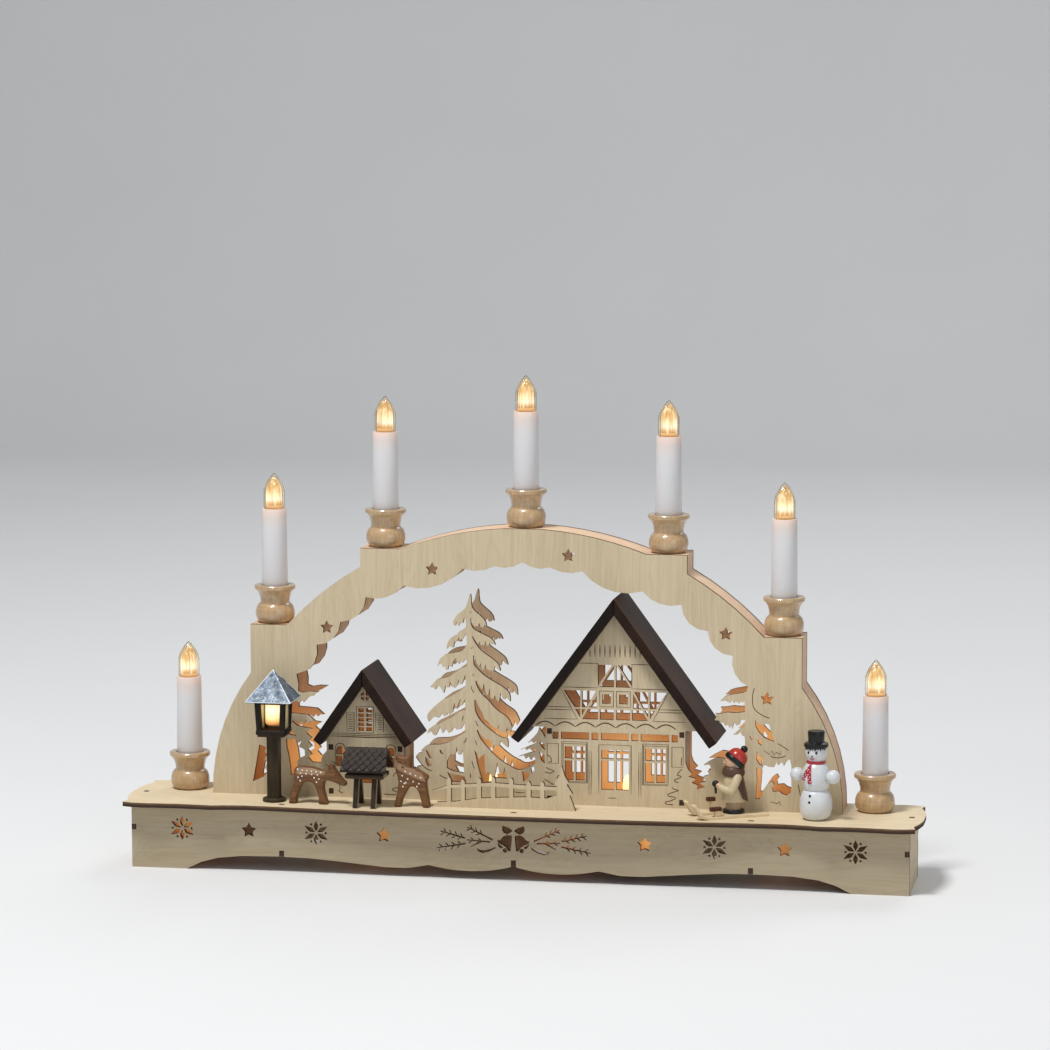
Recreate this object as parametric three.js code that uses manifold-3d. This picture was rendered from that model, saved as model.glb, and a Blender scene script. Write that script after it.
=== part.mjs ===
// A lit wooden candle arch with a village scene, standing on a low plywood base.
// Millimetres. +X runs to the right, +Y to the back, +Z up.
// The origin is the middle of the footprint, on the surface that the base stands on.

import * as THREE from "three";
import { mergeVertices } from "three/addons/utils/BufferGeometryUtils.js";
import Module from "manifold-3d";

const wasm = await Module();
wasm.setup();

// Sheet goods and fits
const PLY = 3.0;                  // plywood of base, plate and arch sheets
const STRIP = 2.0;                // thin cover strips of the arch
const ROOF_BOARD = 6.0;           // roof boards of both houses
const SLOT_CLEARANCE = 0.15;      // round each tab in its slot
const SEAT_GAP = 0.25;            // between faces that meet on a slant or on a curve
const TAB = 3.4;                  // width of the small square tabs

// Base
const BASE_LENGTH = 505;
const BASE_DEPTH = 60;
const BASE_HEIGHT = 44.2;         // to the top of the plate
const LEG_LENGTH = 36.5;          // each end leg along the front panel
const RIB_SPACING = 152.3;
const RIB_LIFT = 0.5;             // rib above the lower edge of the front panel
const PLATE_END_OVERHANG = 6.8;   // of the plate past the end panels
const PLATE_SIDE_OVERHANG = 11.9; // of the plate past the long panels
const ORNAMENT_HEIGHT = 26.7;     // middle of the cut stars and snowflakes
const LAST_ORNAMENT = 34;         // middle of the outermost snowflake, from the end of the base
const BASE_STAR = 5.1;            // radius of the stars in the base
const SNOWFLAKE = 8.8;            // radius of the snowflakes
const BELLS_HEIGHT = 26.1;        // middle of the bells with their sprigs

// Arch. It and the scene are drawn for a plate whose top is at DRAWN_DECK, with heights above the
// ground, and are then set on the plate as it is.
const DRAWN_DECK = 44.2;
const ARCH_FRONT_Y = 2.7;         // front face of the front sheet
const ARCH_DEPTH = 28.3;          // over both sheets
const ARCH_FOOT_X = 206.7;
const CROWN_Z = 222.3;
const CROWN_HALF_FLAT = 12.5;
const UPPER_STEP_Z = 207.7;
const UPPER_STEP_OUTER_X = 106.5;
const UPPER_STEP_INNER_X = 80;
const UPPER_RISER = 11.9;
const LOWER_STEP_Z = 156.3;
const LOWER_STEP_OUTER_X = 180.2;
const LOWER_STEP_INNER_X = 155.8;
const LOWER_RISER = 31.8;
const ARCH_STAR = 4.5;

// Candles
const CUP_HEIGHT = 24.6;
const CUP_RIM_R = 13.4;
const CUP_BELLY_R = 12.8;
const CUP_WAIST_R = 9.5;
const CUP_SOCKET_DEPTH = 16.4;
const SLEEVE_FOOT_R = 8.65;
const SLEEVE_TOP_R = 7.95;
const SLEEVE_TOP_Z = 74.6;        // above the foot of the cup
const SLEEVE_BORE_R = 6.1;
const BULB_R = 6.9;
const BULB_HEIGHT = 22.9;
const BULB_BASE_R = 5.0;
const BULB_BASE_LENGTH = 14;
const WIRE_HOLE_R = 1.7;
const UPPER_CANDLE_X = 92.6;
const LOWER_CANDLE_X = 167.0;
const OUTER_CANDLE_GAP = 19.2;    // from the foot of the arch

// Houses
const LARGE_HOUSE = { x: 60.5, ridge: 180, slope: 53.9, run: 113, wall: 44.5, eave: 94.7,
  tabs: [92, 48] };
const SMALL_HOUSE = { x: -104, ridge: 130, slope: 55.2, run: 57.5, wall: 24.5, eave: 82, tabs: [77, 48] };
const ROOF_FRONT_Y = -6.5;
const ROOF_BACK_Y = 41.5;

// Figures
const FENCE_Y = -17;
const FENCE_SHEET = 3.0;
const LAMP = { x: -160, y: -17.5 };
const LAMP_POST_SIDE = 7.6;
const LAMP_HEIGHT = 86;           // roof tip above the plate
const FAWN_THICKNESS = 7;
const FAWN_GRAZING_Y = -21.5;
const FAWN_ALERT_Y = -21;
const RACK = { x: -97.2, y: -23 };
const MAN = { x: 139, y: -13 };
const SLEDGE_TURN = 29;           // degrees about the upright
const RUNNER_SPACING = 15;
const SNOWMAN = { x: 191.8, y: -16 };

// Battery box, switch and wiring
const CELL_R = 7.15;
const CELL_LENGTH = 50;
const CELL_PITCH = 14.9;
const BOX_WALL = 1.6;
const BOX_X = 78;
const BOX_Y = 0;
const COVER_THICKNESS = 1.6;
const RUNNING_GAP = 0.25;
const SWITCH_X = 20;
const SWITCH_TRAVEL = 4;
const WIRE_R = 1;                 // half width of the bundled wires
const WIRE_DROP = 5.2;            // middle of the wires below the plate

// Derived places
const BASE_HALF = BASE_LENGTH / 2;
const PLATE_UNDER = BASE_HEIGHT - PLY;
const PLATE_LENGTH = BASE_LENGTH + 2 * PLATE_END_OVERHANG;
const PLATE_DEPTH = BASE_DEPTH + 2 * PLATE_SIDE_OVERHANG;
const DECK_LIFT = BASE_HEIGHT - DRAWN_DECK;
const ORNAMENT_PITCH = (BASE_HALF - LAST_ORNAMENT) / 4.9;
const OUTER_CANDLE_X = ARCH_FOOT_X + OUTER_CANDLE_GAP;
const WIRE_RUN_Z = PLATE_UNDER - WIRE_DROP;
const PANEL_FRONT_Y = -BASE_DEPTH / 2;
const PANEL_BACK_Y = BASE_DEPTH / 2;
const ARCH_BACK_Y = ARCH_FRONT_Y + ARCH_DEPTH;
const CANDLE_Y = ARCH_FRONT_Y + ARCH_DEPTH / 2;
const GAP_FRONT_Y = ARCH_FRONT_Y + PLY;
const GAP_BACK_Y = ARCH_BACK_Y - PLY;
const CUP_FLOOR_Z = CUP_HEIGHT - CUP_SOCKET_DEPTH;

const radians = THREE.MathUtils.degToRad;

// Materials
const finish = (colour, roughness, metalness = 0) =>
  new THREE.MeshStandardMaterial({ color: colour, roughness, metalness });
const plywood = finish(0xcdbd9a, 0.6);
const turnedWood = finish(0xc79f63, 0.35);
const whitePlastic = finish(0xe9e6e2, 0.35);
const clearBulb = new THREE.MeshStandardMaterial({ color: 0xffe2a8, roughness: 0.05, transparent: true,
  opacity: 0.6 });
const darkRoof = finish(0x3d2c23, 0.6);
const darkPost = finish(0x3f362a, 0.55);
const silverFoil = finish(0x9aa4b0, 0.25, 0.9);
const warmScreen = finish(0xffc870, 0.6);
const fawnBrown = finish(0x6b4c37, 0.5);
const whitePaint = finish(0xdfe6ea, 0.25);
const coatPaint = finish(0xc9bfa6, 0.4);
const darkPlastic = finish(0x222222, 0.5);
const cellSleeve = finish(0x6c7a70, 0.35, 0.3);
const wireDark = finish(0x2c2c2c, 0.5);

// A closed triangle mesh becomes a solid; triangles that a pole has squashed flat are left out.
function solid(geometry) {
  const bare = geometry.clone();
  bare.deleteAttribute("normal");
  bare.deleteAttribute("uv");
  const merged = mergeVertices(bare, 1e-4);
  const index = merged.index.array;
  const kept = [];
  for (let i = 0; i < index.length; i += 3) {
    const [a, b, c] = [index[i], index[i + 1], index[i + 2]];
    if (a !== b && b !== c && a !== c) kept.push(a, b, c);
  }
  return new wasm.Manifold(
    new wasm.Mesh({
      numProp: 3,
      vertProperties: new Float32Array(merged.attributes.position.array),
      triVerts: new Uint32Array(kept),
    }),
  );
}

function geometryOf(body) {
  const mesh = body.getMesh();
  const geometry = new THREE.BufferGeometry();
  geometry.setAttribute("position", new THREE.BufferAttribute(new Float32Array(mesh.vertProperties), 3));
  geometry.setIndex(new THREE.BufferAttribute(new Uint32Array(mesh.triVerts), 1));
  geometry.computeVertexNormals();
  return geometry;
}

const joined = (bodies) => bodies.reduce((sum, body) => sum.add(body));
const cutBy = (body, tools) => tools.reduce((rest, tool) => rest.subtract(tool), body);

// An outline drawn from corner to corner. An arc's sag is how far it bulges to the right of its
// chord, seen along the direction of travel; a negative sag bulges to the left.
class Outline {
  constructor(x, y) {
    this.points = [[x, y]];
  }
  to(...corners) {
    this.points.push(...corners);
    return this;
  }
  arc(x, y, sag, steps = 4) {
    const [x0, y0] = this.points.at(-1);
    const [dx, dy] = [x - x0, y - y0];
    const chord = Math.hypot(dx, dy);
    const radius = (chord * chord) / 4 / (2 * Math.abs(sag)) + Math.abs(sag) / 2;
    const half = 2 * Math.atan2(2 * Math.abs(sag), chord);
    for (let i = 1; i <= steps; i++) {
      const angle = -half + (2 * half * i) / steps;
      const along = 0.5 + (radius * Math.sin(angle)) / chord;
      const out = Math.sign(sag) * (radius * Math.cos(angle) - radius * Math.cos(half));
      this.points.push([x0 + dx * along + (dy / chord) * out, y0 + dy * along - (dx / chord) * out]);
    }
    return this;
  }
  // A smooth curve through the given points, with a few steps for each of them.
  curve(corners, steps = 2) {
    const all = [this.points.at(-1), ...corners].map(([x, y]) => new THREE.Vector2(x, y));
    const spline = new THREE.SplineCurve(all);
    spline
      .getPoints(steps * corners.length)
      .slice(1)
      .forEach((p) => this.points.push([p.x, p.y]));
    return this;
  }
}

const mirrored = (points) => points.map(([x, y]) => [-x, y]).reverse();

// Outlines meet end to end, so repeated points and points on a straight edge are left out.
function shapeOf(points) {
  const apart = points.filter(([x, y], i) => {
    const [px, py] = points.at(i - 1);
    return Math.hypot(x - px, y - py) > 1e-3;
  });
  const corners = apart.filter(([x, y], i) => {
    const [px, py] = apart.at(i - 1);
    const [nx, ny] = apart[(i + 1) % apart.length];
    return Math.abs((x - px) * (ny - py) - (y - py) * (nx - px)) > 1e-3;
  });
  return new THREE.Shape(corners.map(([x, y]) => new THREE.Vector2(x, y)));
}

// A sheet standing upright: its outline is in X and Z, and it fills y0 to y1.
function upright(points, y0, y1) {
  const geometry = new THREE.ExtrudeGeometry(shapeOf(points), { depth: y1 - y0, bevelEnabled: false });
  geometry.rotateX(Math.PI / 2);
  geometry.translate(0, y1, 0);
  return solid(geometry);
}

// A sheet lying flat: its outline is in X and Y, and it fills z0 to z1.
function lying(points, z0, z1) {
  const geometry = new THREE.ExtrudeGeometry(shapeOf(points), { depth: z1 - z0, bevelEnabled: false });
  geometry.translate(0, 0, z0);
  return solid(geometry);
}

function box(x0, x1, y0, y1, z0, z1) {
  const geometry = new THREE.BoxGeometry(x1 - x0, y1 - y0, z1 - z0);
  geometry.translate((x0 + x1) / 2, (y0 + y1) / 2, (z0 + z1) / 2);
  return solid(geometry);
}

// A turned piece: the profile lists radius and height from the foot to the top.
function turned(profile, sides = 14) {
  const points = profile.map(([r, z]) => new THREE.Vector2(r, z));
  const geometry = new THREE.LatheGeometry(points, sides);
  geometry.rotateX(Math.PI / 2);
  return solid(geometry);
}

function rod(radius, from, to, sides = 8) {
  const start = new THREE.Vector3(...from);
  const end = new THREE.Vector3(...to);
  const geometry = new THREE.CylinderGeometry(radius, radius, start.distanceTo(end), sides);
  const turn = new THREE.Quaternion().setFromUnitVectors(
    new THREE.Vector3(0, 1, 0),
    end.clone().sub(start).normalize(),
  );
  geometry.applyQuaternion(turn);
  geometry.translate(...start.clone().add(end).multiplyScalar(0.5).toArray());
  return solid(geometry);
}

function ball(x, y, z, radius, sides = 8, rings = 5) {
  const geometry = new THREE.SphereGeometry(radius, sides, rings);
  geometry.rotateX(Math.PI / 2);
  geometry.translate(x, y, z);
  return solid(geometry);
}

const rectangle = (x0, x1, z0, z1) => [[x0, z0], [x1, z0], [x1, z1], [x0, z1]];

// A five-pointed star with one point up.
function star(x, z, radius) {
  return Array.from({ length: 10 }, (_, i) => {
    const r = i % 2 ? radius * 0.54 : radius;
    const angle = Math.PI / 2 + (i * Math.PI) / 5;
    return [x + r * Math.cos(angle), z + r * Math.sin(angle)];
  });
}

// Six pointed petals, the upright ones a little shorter, with a small square between each two.
function snowflake(x, z, radius) {
  const place = (list, angle) =>
    list.map(([u, v]) => [
      x + radius * (u * Math.cos(angle) - v * Math.sin(angle)),
      z + radius * (u * Math.sin(angle) + v * Math.cos(angle)),
    ]);
  const [side, middle] = [0.075, 0.72];
  const square = rectangle(middle - side, middle + side, -side, side);
  return Array.from({ length: 6 }, (_, i) => {
    const angle = Math.PI / 2 + (i * Math.PI) / 3;
    const tip = i % 3 ? 1 : 0.88;
    const petal = [[0.1, 0], [0.42, -0.17], [0.6, -0.15], [tip, 0], [0.6, 0.15], [0.42, 0.17]];
    return [place(petal, angle), place(square, angle + Math.PI / 6)];
  }).flat();
}

// A thin twig between two points, as wide as given at its foot and half as wide at its tip.
function twig([x0, z0], [x1, z1], width) {
  const length = Math.hypot(x1 - x0, z1 - z0);
  const [nx, nz] = [(-(z1 - z0) / length) * (width / 2), ((x1 - x0) / length) * (width / 2)];
  return [[x0 - nx, z0 - nz], [x1 - nx / 2, z1 - nz / 2], [x1 + nx / 2, z1 + nz / 2], [x0 + nx, z0 + nz]];
}

// A sprig: a thin stem from root to tip with twigs on both sides, paired from the given share on.
function sprig(root, tip, from, pairs, reach = 2.4) {
  const [dx, dz] = [tip[0] - root[0], tip[1] - root[1]];
  const length = Math.hypot(dx, dz);
  const at = (u, v) => [root[0] + (dx * u - dz * v) / length, root[1] + (dz * u + dx * v) / length];
  const twigs = Array.from({ length: pairs }, (_, i) => {
    const u = length * (from + ((1 - from) * (i + 0.35)) / (pairs + 0.2));
    return [1, -1].map((sign) => twig(at(u - sign * 0.5, 0), at(u - sign * 0.5 + 1.9, sign * reach),
      0.95));
  });
  return [twig(root, tip, 1.1), ...twigs.flat()];
}

// Both bells of the middle ornament, their bow, leaves and sprigs, as cut-outs of the right half.
function bellOrnament() {
  const above = ([x, z]) => [x, z + BELLS_HEIGHT];
  const clapper = Array.from({ length: 8 }, (_, i) => {
    const angle = (i * Math.PI) / 4;
    return [5.4 + 1.5 * Math.cos(angle), -6.3 + 1.5 * Math.sin(angle)];
  });
  const half = [
    [[0.9, 3.2], [4.3, 3.9], [7, 2.3], [8.2, 0.5], [10.7, -0.1], [9.5, -1.7], [7, -2.9], [4.6, -4.5],
      [3.2, -6.8], [1.8, -6.6], [1.2, -2]],
    [[10.5, -1.2], [9.8, -3.6], [8.1, -5.2], [6.5, -4.3], [8.2, -3.2]],
    clapper,
    [[0.8, 7], [3, 8.4], [6.9, 9.7], [7.4, 7.2], [6.3, 5], [4, 4.3], [2, 5.2], [0.8, 6]],
    [[11.2, -3.8], [13.5, -5.2], [18, -6.7], [21, -6.7], [23.8, -5.7], [22.8, -7.6], [20, -8.6],
      [15.5, -7.4], [12, -5.5]],
  ].map((points) => points.map(above));
  const sprigs = [
    sprig([13.4, 0.2], [30, 8], 0.4, 3, 2.2),
    sprig([15.2, -1.2], [30.4, -0.4], 0.3, 2, 1.8),
    sprig([31.4, 0.8], [47.5, 4.8], 0.05, 4),
    sprig([31.2, -2.8], [50, -6.3], 0.1, 4),
    [twig([20, -0.9], [27.6, -4.6], 1)],
  ].map((list) => list.map((points) => points.map(above)));
  const all = [...half, ...sprigs.flat()];
  return [...all, ...all.map(mirrored)];
}

// Lower edge of the long base panels, from the middle to the end: two shallow waves that meet in
// cusps, then the sweep down to the leg.
function lowerEdge() {
  const legX = BASE_HALF - LEG_LENGTH;
  const cuspX = 55;
  const sweep = [[0.087, 5.9], [0.18, 5.9], [0.348, 8.2], [0.497, 9.9], [0.634, 10.2], [0.77, 9.7],
    [0.87, 7.9], [0.938, 4.8], [1, 0]];
  return new Outline(0, 9.4)
    .curve([[12, 6.7], [28, 5.4], [43, 6.2], [cuspX, 8.4]], 2)
    .curve(sweep.map(([share, z]) => [cuspX + share * (legX - cuspX), z]), 1).points;
}

// Height of the lower edge at a given distance from the middle.
function lowerEdgeAt(x) {
  const edge = lowerEdge();
  const i = edge.findIndex(([px]) => px >= Math.abs(x));
  const [[x0, z0], [x1, z1]] = [edge[Math.max(i - 1, 0)], edge[i]];
  return i <= 0 ? z1 : z0 + ((z1 - z0) * (Math.abs(x) - x0)) / (x1 - x0);
}

const RIB_X = [-RIB_SPACING, 0, RIB_SPACING];
const ribFoot = (x) => lowerEdgeAt(x) + RIB_LIFT;
const slack = SLOT_CLEARANCE;
const END_TAB_Z = 26.5;
const END_TAB_DEPTH = 4;          // tab of an end panel in the plate, along Y

// One long panel of the base, with the notches for the end panels' and ribs' tabs and its own
// small tabs that go up into the plate.
function longPanel(y0, ornaments) {
  const edge = lowerEdge();
  const side = [...edge, [BASE_HALF, 0], [BASE_HALF, PLATE_UNDER]];
  const points = [...mirrored(side), ...side];
  const panel = upright(points, y0, y0 + PLY);
  const tabs = RIB_X.map((x) => box(x - TAB / 2, x + TAB / 2, y0, y0 + PLY, PLATE_UNDER - 1,
    BASE_HEIGHT));
  const reach = [y0 - 1, y0 + PLY + 1];
  const notches = [
    ...[-1, 1].map((s) => {
      const [xa, xb] = [s * (BASE_HALF - PLY - slack), s * (BASE_HALF + 1)];
      return box(Math.min(xa, xb), Math.max(xa, xb), ...reach, END_TAB_Z - TAB / 2 - slack,
        END_TAB_Z + TAB / 2 + slack);
    }),
    ...RIB_X.map((x) => box(x - PLY / 2 - slack, x + PLY / 2 + slack, ...reach, 0,
      ribFoot(x) + TAB + slack)),
  ];
  const pierced = ornaments.map((hole) => upright(hole, ...reach));
  return cutBy(joined([panel, ...tabs]), [...notches, ...pierced]);
}

function baseOrnaments() {
  const places = [1, 2, 3, 4].flatMap((i) =>
    [-1, 1].map((s) => [s * ORNAMENT_PITCH * (i + 0.9), i]),
  );
  const cuts = places.flatMap(([x, i]) =>
    i % 2 ? [star(x, ORNAMENT_HEIGHT, BASE_STAR)] : snowflake(x, ORNAMENT_HEIGHT, SNOWFLAKE),
  );
  return [...cuts, ...bellOrnament()];
}

function endPanel(sign) {
  const [x0, x1] = sign > 0 ? [BASE_HALF - PLY, BASE_HALF] : [-BASE_HALF, -BASE_HALF + PLY];
  const panel = box(x0, x1, PANEL_FRONT_Y + PLY, PANEL_BACK_Y - PLY, 0, PLATE_UNDER);
  const through = box(x0, x1, PANEL_FRONT_Y, PANEL_BACK_Y, END_TAB_Z - TAB / 2, END_TAB_Z + TAB / 2);
  const up = box(x0, x1, -END_TAB_DEPTH / 2, END_TAB_DEPTH / 2, PLATE_UNDER - 1, BASE_HEIGHT);
  return joined([panel, through, up]);
}

function rib(x) {
  const [x0, x1] = [x - PLY / 2, x + PLY / 2];
  const foot = ribFoot(x);
  const web = box(x0, x1, PANEL_FRONT_Y + PLY, PANEL_BACK_Y - PLY, foot, PLATE_UNDER);
  const through = box(x0, x1, PANEL_FRONT_Y, PANEL_BACK_Y, foot, foot + TAB);
  const wirePass = box(x0 - 1, x1 + 1, CANDLE_Y - 4, CANDLE_Y + 4, WIRE_RUN_Z - 4, PLATE_UNDER + 1);
  return web.add(through).subtract(wirePass);
}

// Top plate: a wavy long edge with an outward cusp near each end, pointed corners and bowed ends.
function plateOutline() {
  const [hx, hy] = [PLATE_LENGTH / 2, PLATE_DEPTH / 2];
  const cuspX = hx - 63.3;
  const quarter = new Outline(0, -hy)
    .curve([[60, -hy + 0.5], [120, -hy + 2.8], [cuspX - 22, -hy + 5.9], [cuspX, -hy + 2.1]], 2)
    .curve([[cuspX + 22, -hy + 3.6], [cuspX + 46, -hy + 2]], 2)
    .arc(hx - 3, -hy + 4.8, 0.8, 2)
    .to([hx - 4.5, -hy + 11.5])
    .arc(hx, 0, 1.6, 3).points;
  const right = [...quarter, ...quarter.slice(0, -1).map(([x, y]) => [x, -y]).reverse()];
  return [...right, ...right.slice(1, -1).map(([x, y]) => [-x, y]).reverse()];
}

// Tabs of the arch sheets in the plate: middle and half width of each.
const SHEET_TABS = [
  [-190, 6],
  [SMALL_HOUSE.x, 6],
  [-33, 5],
  [LARGE_HOUSE.x, 7],
  [190, 6],
];
const WIRE_RISE_X = ARCH_FOOT_X - 10.7; // where the wiring passes up through the plate

function topPlate() {
  const slot = (x, y, hx, hy) =>
    box(x - hx - slack, x + hx + slack, y - hy - slack, y + hy + slack, PLATE_UNDER - 1, BASE_HEIGHT + 1);
  const slots = [
    ...[PANEL_FRONT_Y + PLY / 2, PANEL_BACK_Y - PLY / 2].flatMap((y) => RIB_X.map((x) => slot(x, y,
      TAB / 2, PLY / 2))),
    ...[-1, 1].map((s) => slot(s * (BASE_HALF - PLY / 2), 0, PLY / 2, END_TAB_DEPTH / 2)),
    ...[ARCH_FRONT_Y, GAP_BACK_Y].flatMap((y) => SHEET_TABS.map(([x, w]) => slot(x, y + PLY / 2, w,
      PLY / 2))),
  ];
  const plate = lying(plateOutline(), PLATE_UNDER, BASE_HEIGHT);
  const wireHoles = [-OUTER_CANDLE_X, -WIRE_RISE_X, WIRE_RISE_X, OUTER_CANDLE_X].map((x) =>
    rod(WIRE_HOLE_R + 0.3, [x, CANDLE_Y, PLATE_UNDER - 1], [x, CANDLE_Y, BASE_HEIGHT + 1]),
  );
  return cutBy(plate, [...slots, ...wireHoles]);
}

// Outer edge of the arch, right half, from the crown down to the foot.
function archEdge() {
  return new Outline(CROWN_HALF_FLAT, CROWN_Z)
    .arc(UPPER_STEP_INNER_X, UPPER_STEP_Z, -2.6, 6)
    .to([UPPER_STEP_OUTER_X, UPPER_STEP_Z], [UPPER_STEP_OUTER_X, UPPER_STEP_Z - UPPER_RISER])
    .arc(LOWER_STEP_INNER_X, LOWER_STEP_Z, -2.4, 5)
    .to([LOWER_STEP_OUTER_X, LOWER_STEP_Z], [LOWER_STEP_OUTER_X, LOWER_STEP_Z - LOWER_RISER])
    .arc(ARCH_FOOT_X, DRAWN_DECK, -7, 7).points;
}

// A bough of a tree: the curve of its upper edge from the trunk to the tip, then its hanging
// teeth back to the trunk.
const bough = ([root, ...edge], teeth, steps = 2) =>
  [...new Outline(...root).curve(edge, steps).points, ...teeth];

// The large fir of the scene: the boughs of one side, from the top down. A narrow slit runs up
// between the trunk and each bough of the right side.
const FIR_RIGHT = [
  bough([[-33.6, 174.6], [-33, 171], [-31, 168.6], [-28.5, 166.4], [-25.9, 164.2], [-24.1, 161.4],
    [-23.7, 158.7]], [[-24.7, 160], [-25.6, 158.4], [-27.2, 158.2], [-28.2, 161], [-29.2, 158.9],
    [-31.6, 158.8], [-32.8, 160.6], [-33.1, 164.4]]),
  bough([[-34, 164.2], [-33.9, 160.4], [-33.1, 158.4], [-31.7, 156.7], [-28.5, 154.9], [-22.9, 152.3],
    [-20.4, 150.9], [-18.7, 149], [-17.9, 146.9]], [[-19, 147.9], [-20, 146.9], [-21.6, 148.4],
    [-22, 146.6], [-23.6, 146.2], [-24.1, 149.5], [-25, 146.4], [-27.4, 146.8], [-28, 149.1],
    [-28.9, 147], [-31.4, 150.2], [-32.4, 152.5]]),
  bough([[-33.2, 152], [-30.4, 146.9], [-26.8, 142.7], [-21.7, 139.2], [-17, 135.6], [-15.3, 133],
    [-14.5, 130.1]], [[-16.6, 131.5], [-18.2, 133.3], [-19.2, 129.6], [-21.7, 130.4], [-23.4, 131.2],
    [-24.4, 134.4], [-25, 130.6], [-26.6, 130.8], [-27.5, 135], [-28.4, 132.4], [-30.2, 135.2],
    [-31.4, 139.8]]),
  bough([[-32.3, 139.6], [-32.2, 134.8], [-30.8, 132.2], [-26.4, 127.9], [-22, 124.8], [-15.4, 121.1],
    [-10.9, 118.2], [-8.6, 115.3], [-8.1, 110.4]], [[-9.7, 111.9], [-10.6, 113.9], [-11.5, 111.8],
    [-13, 111.9], [-14.6, 116.2], [-15.4, 109.6], [-16.9, 111.3], [-18.3, 114.5], [-19.2, 111.7],
    [-21, 112.5], [-21.5, 118.7], [-22.6, 114.1], [-24, 114.7], [-25.3, 122.2], [-26.2, 117.7],
    [-28, 119.6], [-30.2, 123.4]]),
  bough([[-31.1, 123], [-29.7, 119], [-27.9, 116], [-25.6, 113.4], [-22.2, 110.4], [-19.2, 106.8],
    [-15.4, 103.5], [-10.9, 100.6], [-8.6, 97.6], [-6.9, 93.6]], [[-8.6, 90.3], [-10.3, 93.8],
    [-11.1, 89.8], [-13.2, 90], [-15, 90.9], [-15.6, 94.7], [-16.8, 91.8], [-20.7, 94.5], [-23, 97.3],
    [-25.2, 98.8], [-26.7, 103], [-29, 106.8], [-30.7, 111]]),
  bough([[-31.6, 110.6], [-31.4, 104.6], [-30.1, 101], [-27.5, 97], [-23.7, 93.4], [-19.2, 89.9],
    [-15.4, 87.4], [-12.4, 86.4], [-10.4, 86.2], [-9.6, 83.3], [-9.8, 80.2]], [[-12.5, 82.4],
    [-14.7, 84.9], [-15.3, 82.2], [-17, 81.2], [-18.9, 81.9], [-19.6, 79], [-20.5, 83.7],
    [-22.2, 85.4], [-24.5, 85.2], [-26, 86.6], [-28.2, 88.6], [-29.4, 91.4]]),
];
const FIR_LEFT = [
  bough([[-35.1, 177.6], [-36, 174], [-37.1, 171.2], [-38.7, 169.2], [-41.3, 167.2], [-43.4, 165.2],
    [-44.7, 163], [-45.4, 160.9], [-45.1, 159]], [[-44, 158.9], [-43, 161.4], [-42, 158.6],
    [-40.8, 160.9], [-39, 160.6], [-38.3, 164], [-37.2, 163.4], [-36.9, 158.8]]),
  bough([[-36.9, 158.3], [-38.3, 157], [-41.3, 154.6], [-43.8, 152.7], [-46.8, 150.9], [-48.5, 148.8],
    [-49.6, 146.3], [-49.9, 143.4]], [[-47.9, 145.7], [-46.6, 144.5], [-45.3, 144.6], [-44.8, 148.4],
    [-43, 148.7], [-41.7, 151.4], [-41.2, 149.5], [-39.4, 150.2], [-36.8, 154.2], [-36.5, 147.6]]),
  bough([[-36.6, 147], [-38.6, 143.4], [-41.3, 141.9], [-45.1, 141.2], [-49.4, 140.2], [-52.3, 138.7],
    [-54.5, 136.4], [-56.1, 132]], [[-53.4, 134.4], [-52.4, 131.4], [-51.1, 132.8], [-50.4, 129.6],
    [-49.3, 129.8], [-48.5, 133], [-46.6, 131.7], [-45.5, 135.4], [-43.5, 138], [-43.3, 134.8],
    [-42.6, 136], [-41.8, 133.7], [-40.5, 136.2], [-39.2, 134.8], [-36.9, 138], [-36.5, 133.6]]),
  bough([[-36.6, 133], [-41.8, 130.2], [-46.3, 126.9], [-49.4, 125.2], [-55.4, 123.6], [-57.7, 122.2],
    [-61, 118.2]], [[-58.6, 118.1], [-57.3, 116.6], [-56, 119], [-54.2, 118.8], [-51.8, 114.6],
    [-50.6, 119.4], [-49, 118.1], [-48.2, 118.6], [-47.7, 122.2], [-46, 118.8], [-44.6, 118],
    [-42.8, 120], [-42.2, 124.2], [-41.2, 120.3], [-39.8, 120.9], [-37.5, 127.4], [-37.3, 120.2]]),
  bough([[-37.3, 119.5], [-41.8, 116], [-46.3, 113.2], [-51.6, 110.8], [-56.1, 107.5], [-59.9, 103.9],
    [-62.2, 101.2], [-62.9, 98.3], [-61.7, 95.5]], [[-59.4, 98.3], [-57.2, 99], [-55.2, 98.3],
    [-53.1, 101.6], [-51.8, 99.3], [-50.2, 100], [-49, 102.2], [-48.2, 100.3], [-46.2, 102],
    [-45, 108.6], [-43.6, 104.5], [-42.9, 106.3], [-40.8, 111.6], [-41.2, 106.3], [-39.8, 107],
    [-37.9, 111], [-37.7, 105]]),
  bough([[-37.7, 104.4], [-41.8, 102.8], [-44.8, 100.2], [-50.1, 97.3], [-56.1, 94.1], [-60.3, 92],
    [-62.3, 90], [-62.9, 87.6]], [[-60.3, 89.4], [-58.6, 86.9], [-57.2, 86.8], [-54.5, 92.5],
    [-52.6, 88.2], [-50.5, 91.5], [-48.6, 88.4], [-47, 89.4], [-45.2, 92.8], [-43.4, 90.9],
    [-40.6, 91.4], [-38, 95.8], [-37.9, 90.6]]),
];

// Ends of a roof board: the underside leaves room for the sheet's gable.
function roofGeometry(house) {
  const angle = radians(house.slope);
  const underRidge = house.ridge - ROOF_BOARD / Math.cos(angle);
  const gableTop = underRidge - SEAT_GAP / Math.cos(angle);
  const gableHalf = (gableTop - house.eave) / Math.tan(angle);
  return { angle, underRidge, gableTop, gableHalf };
}

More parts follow.
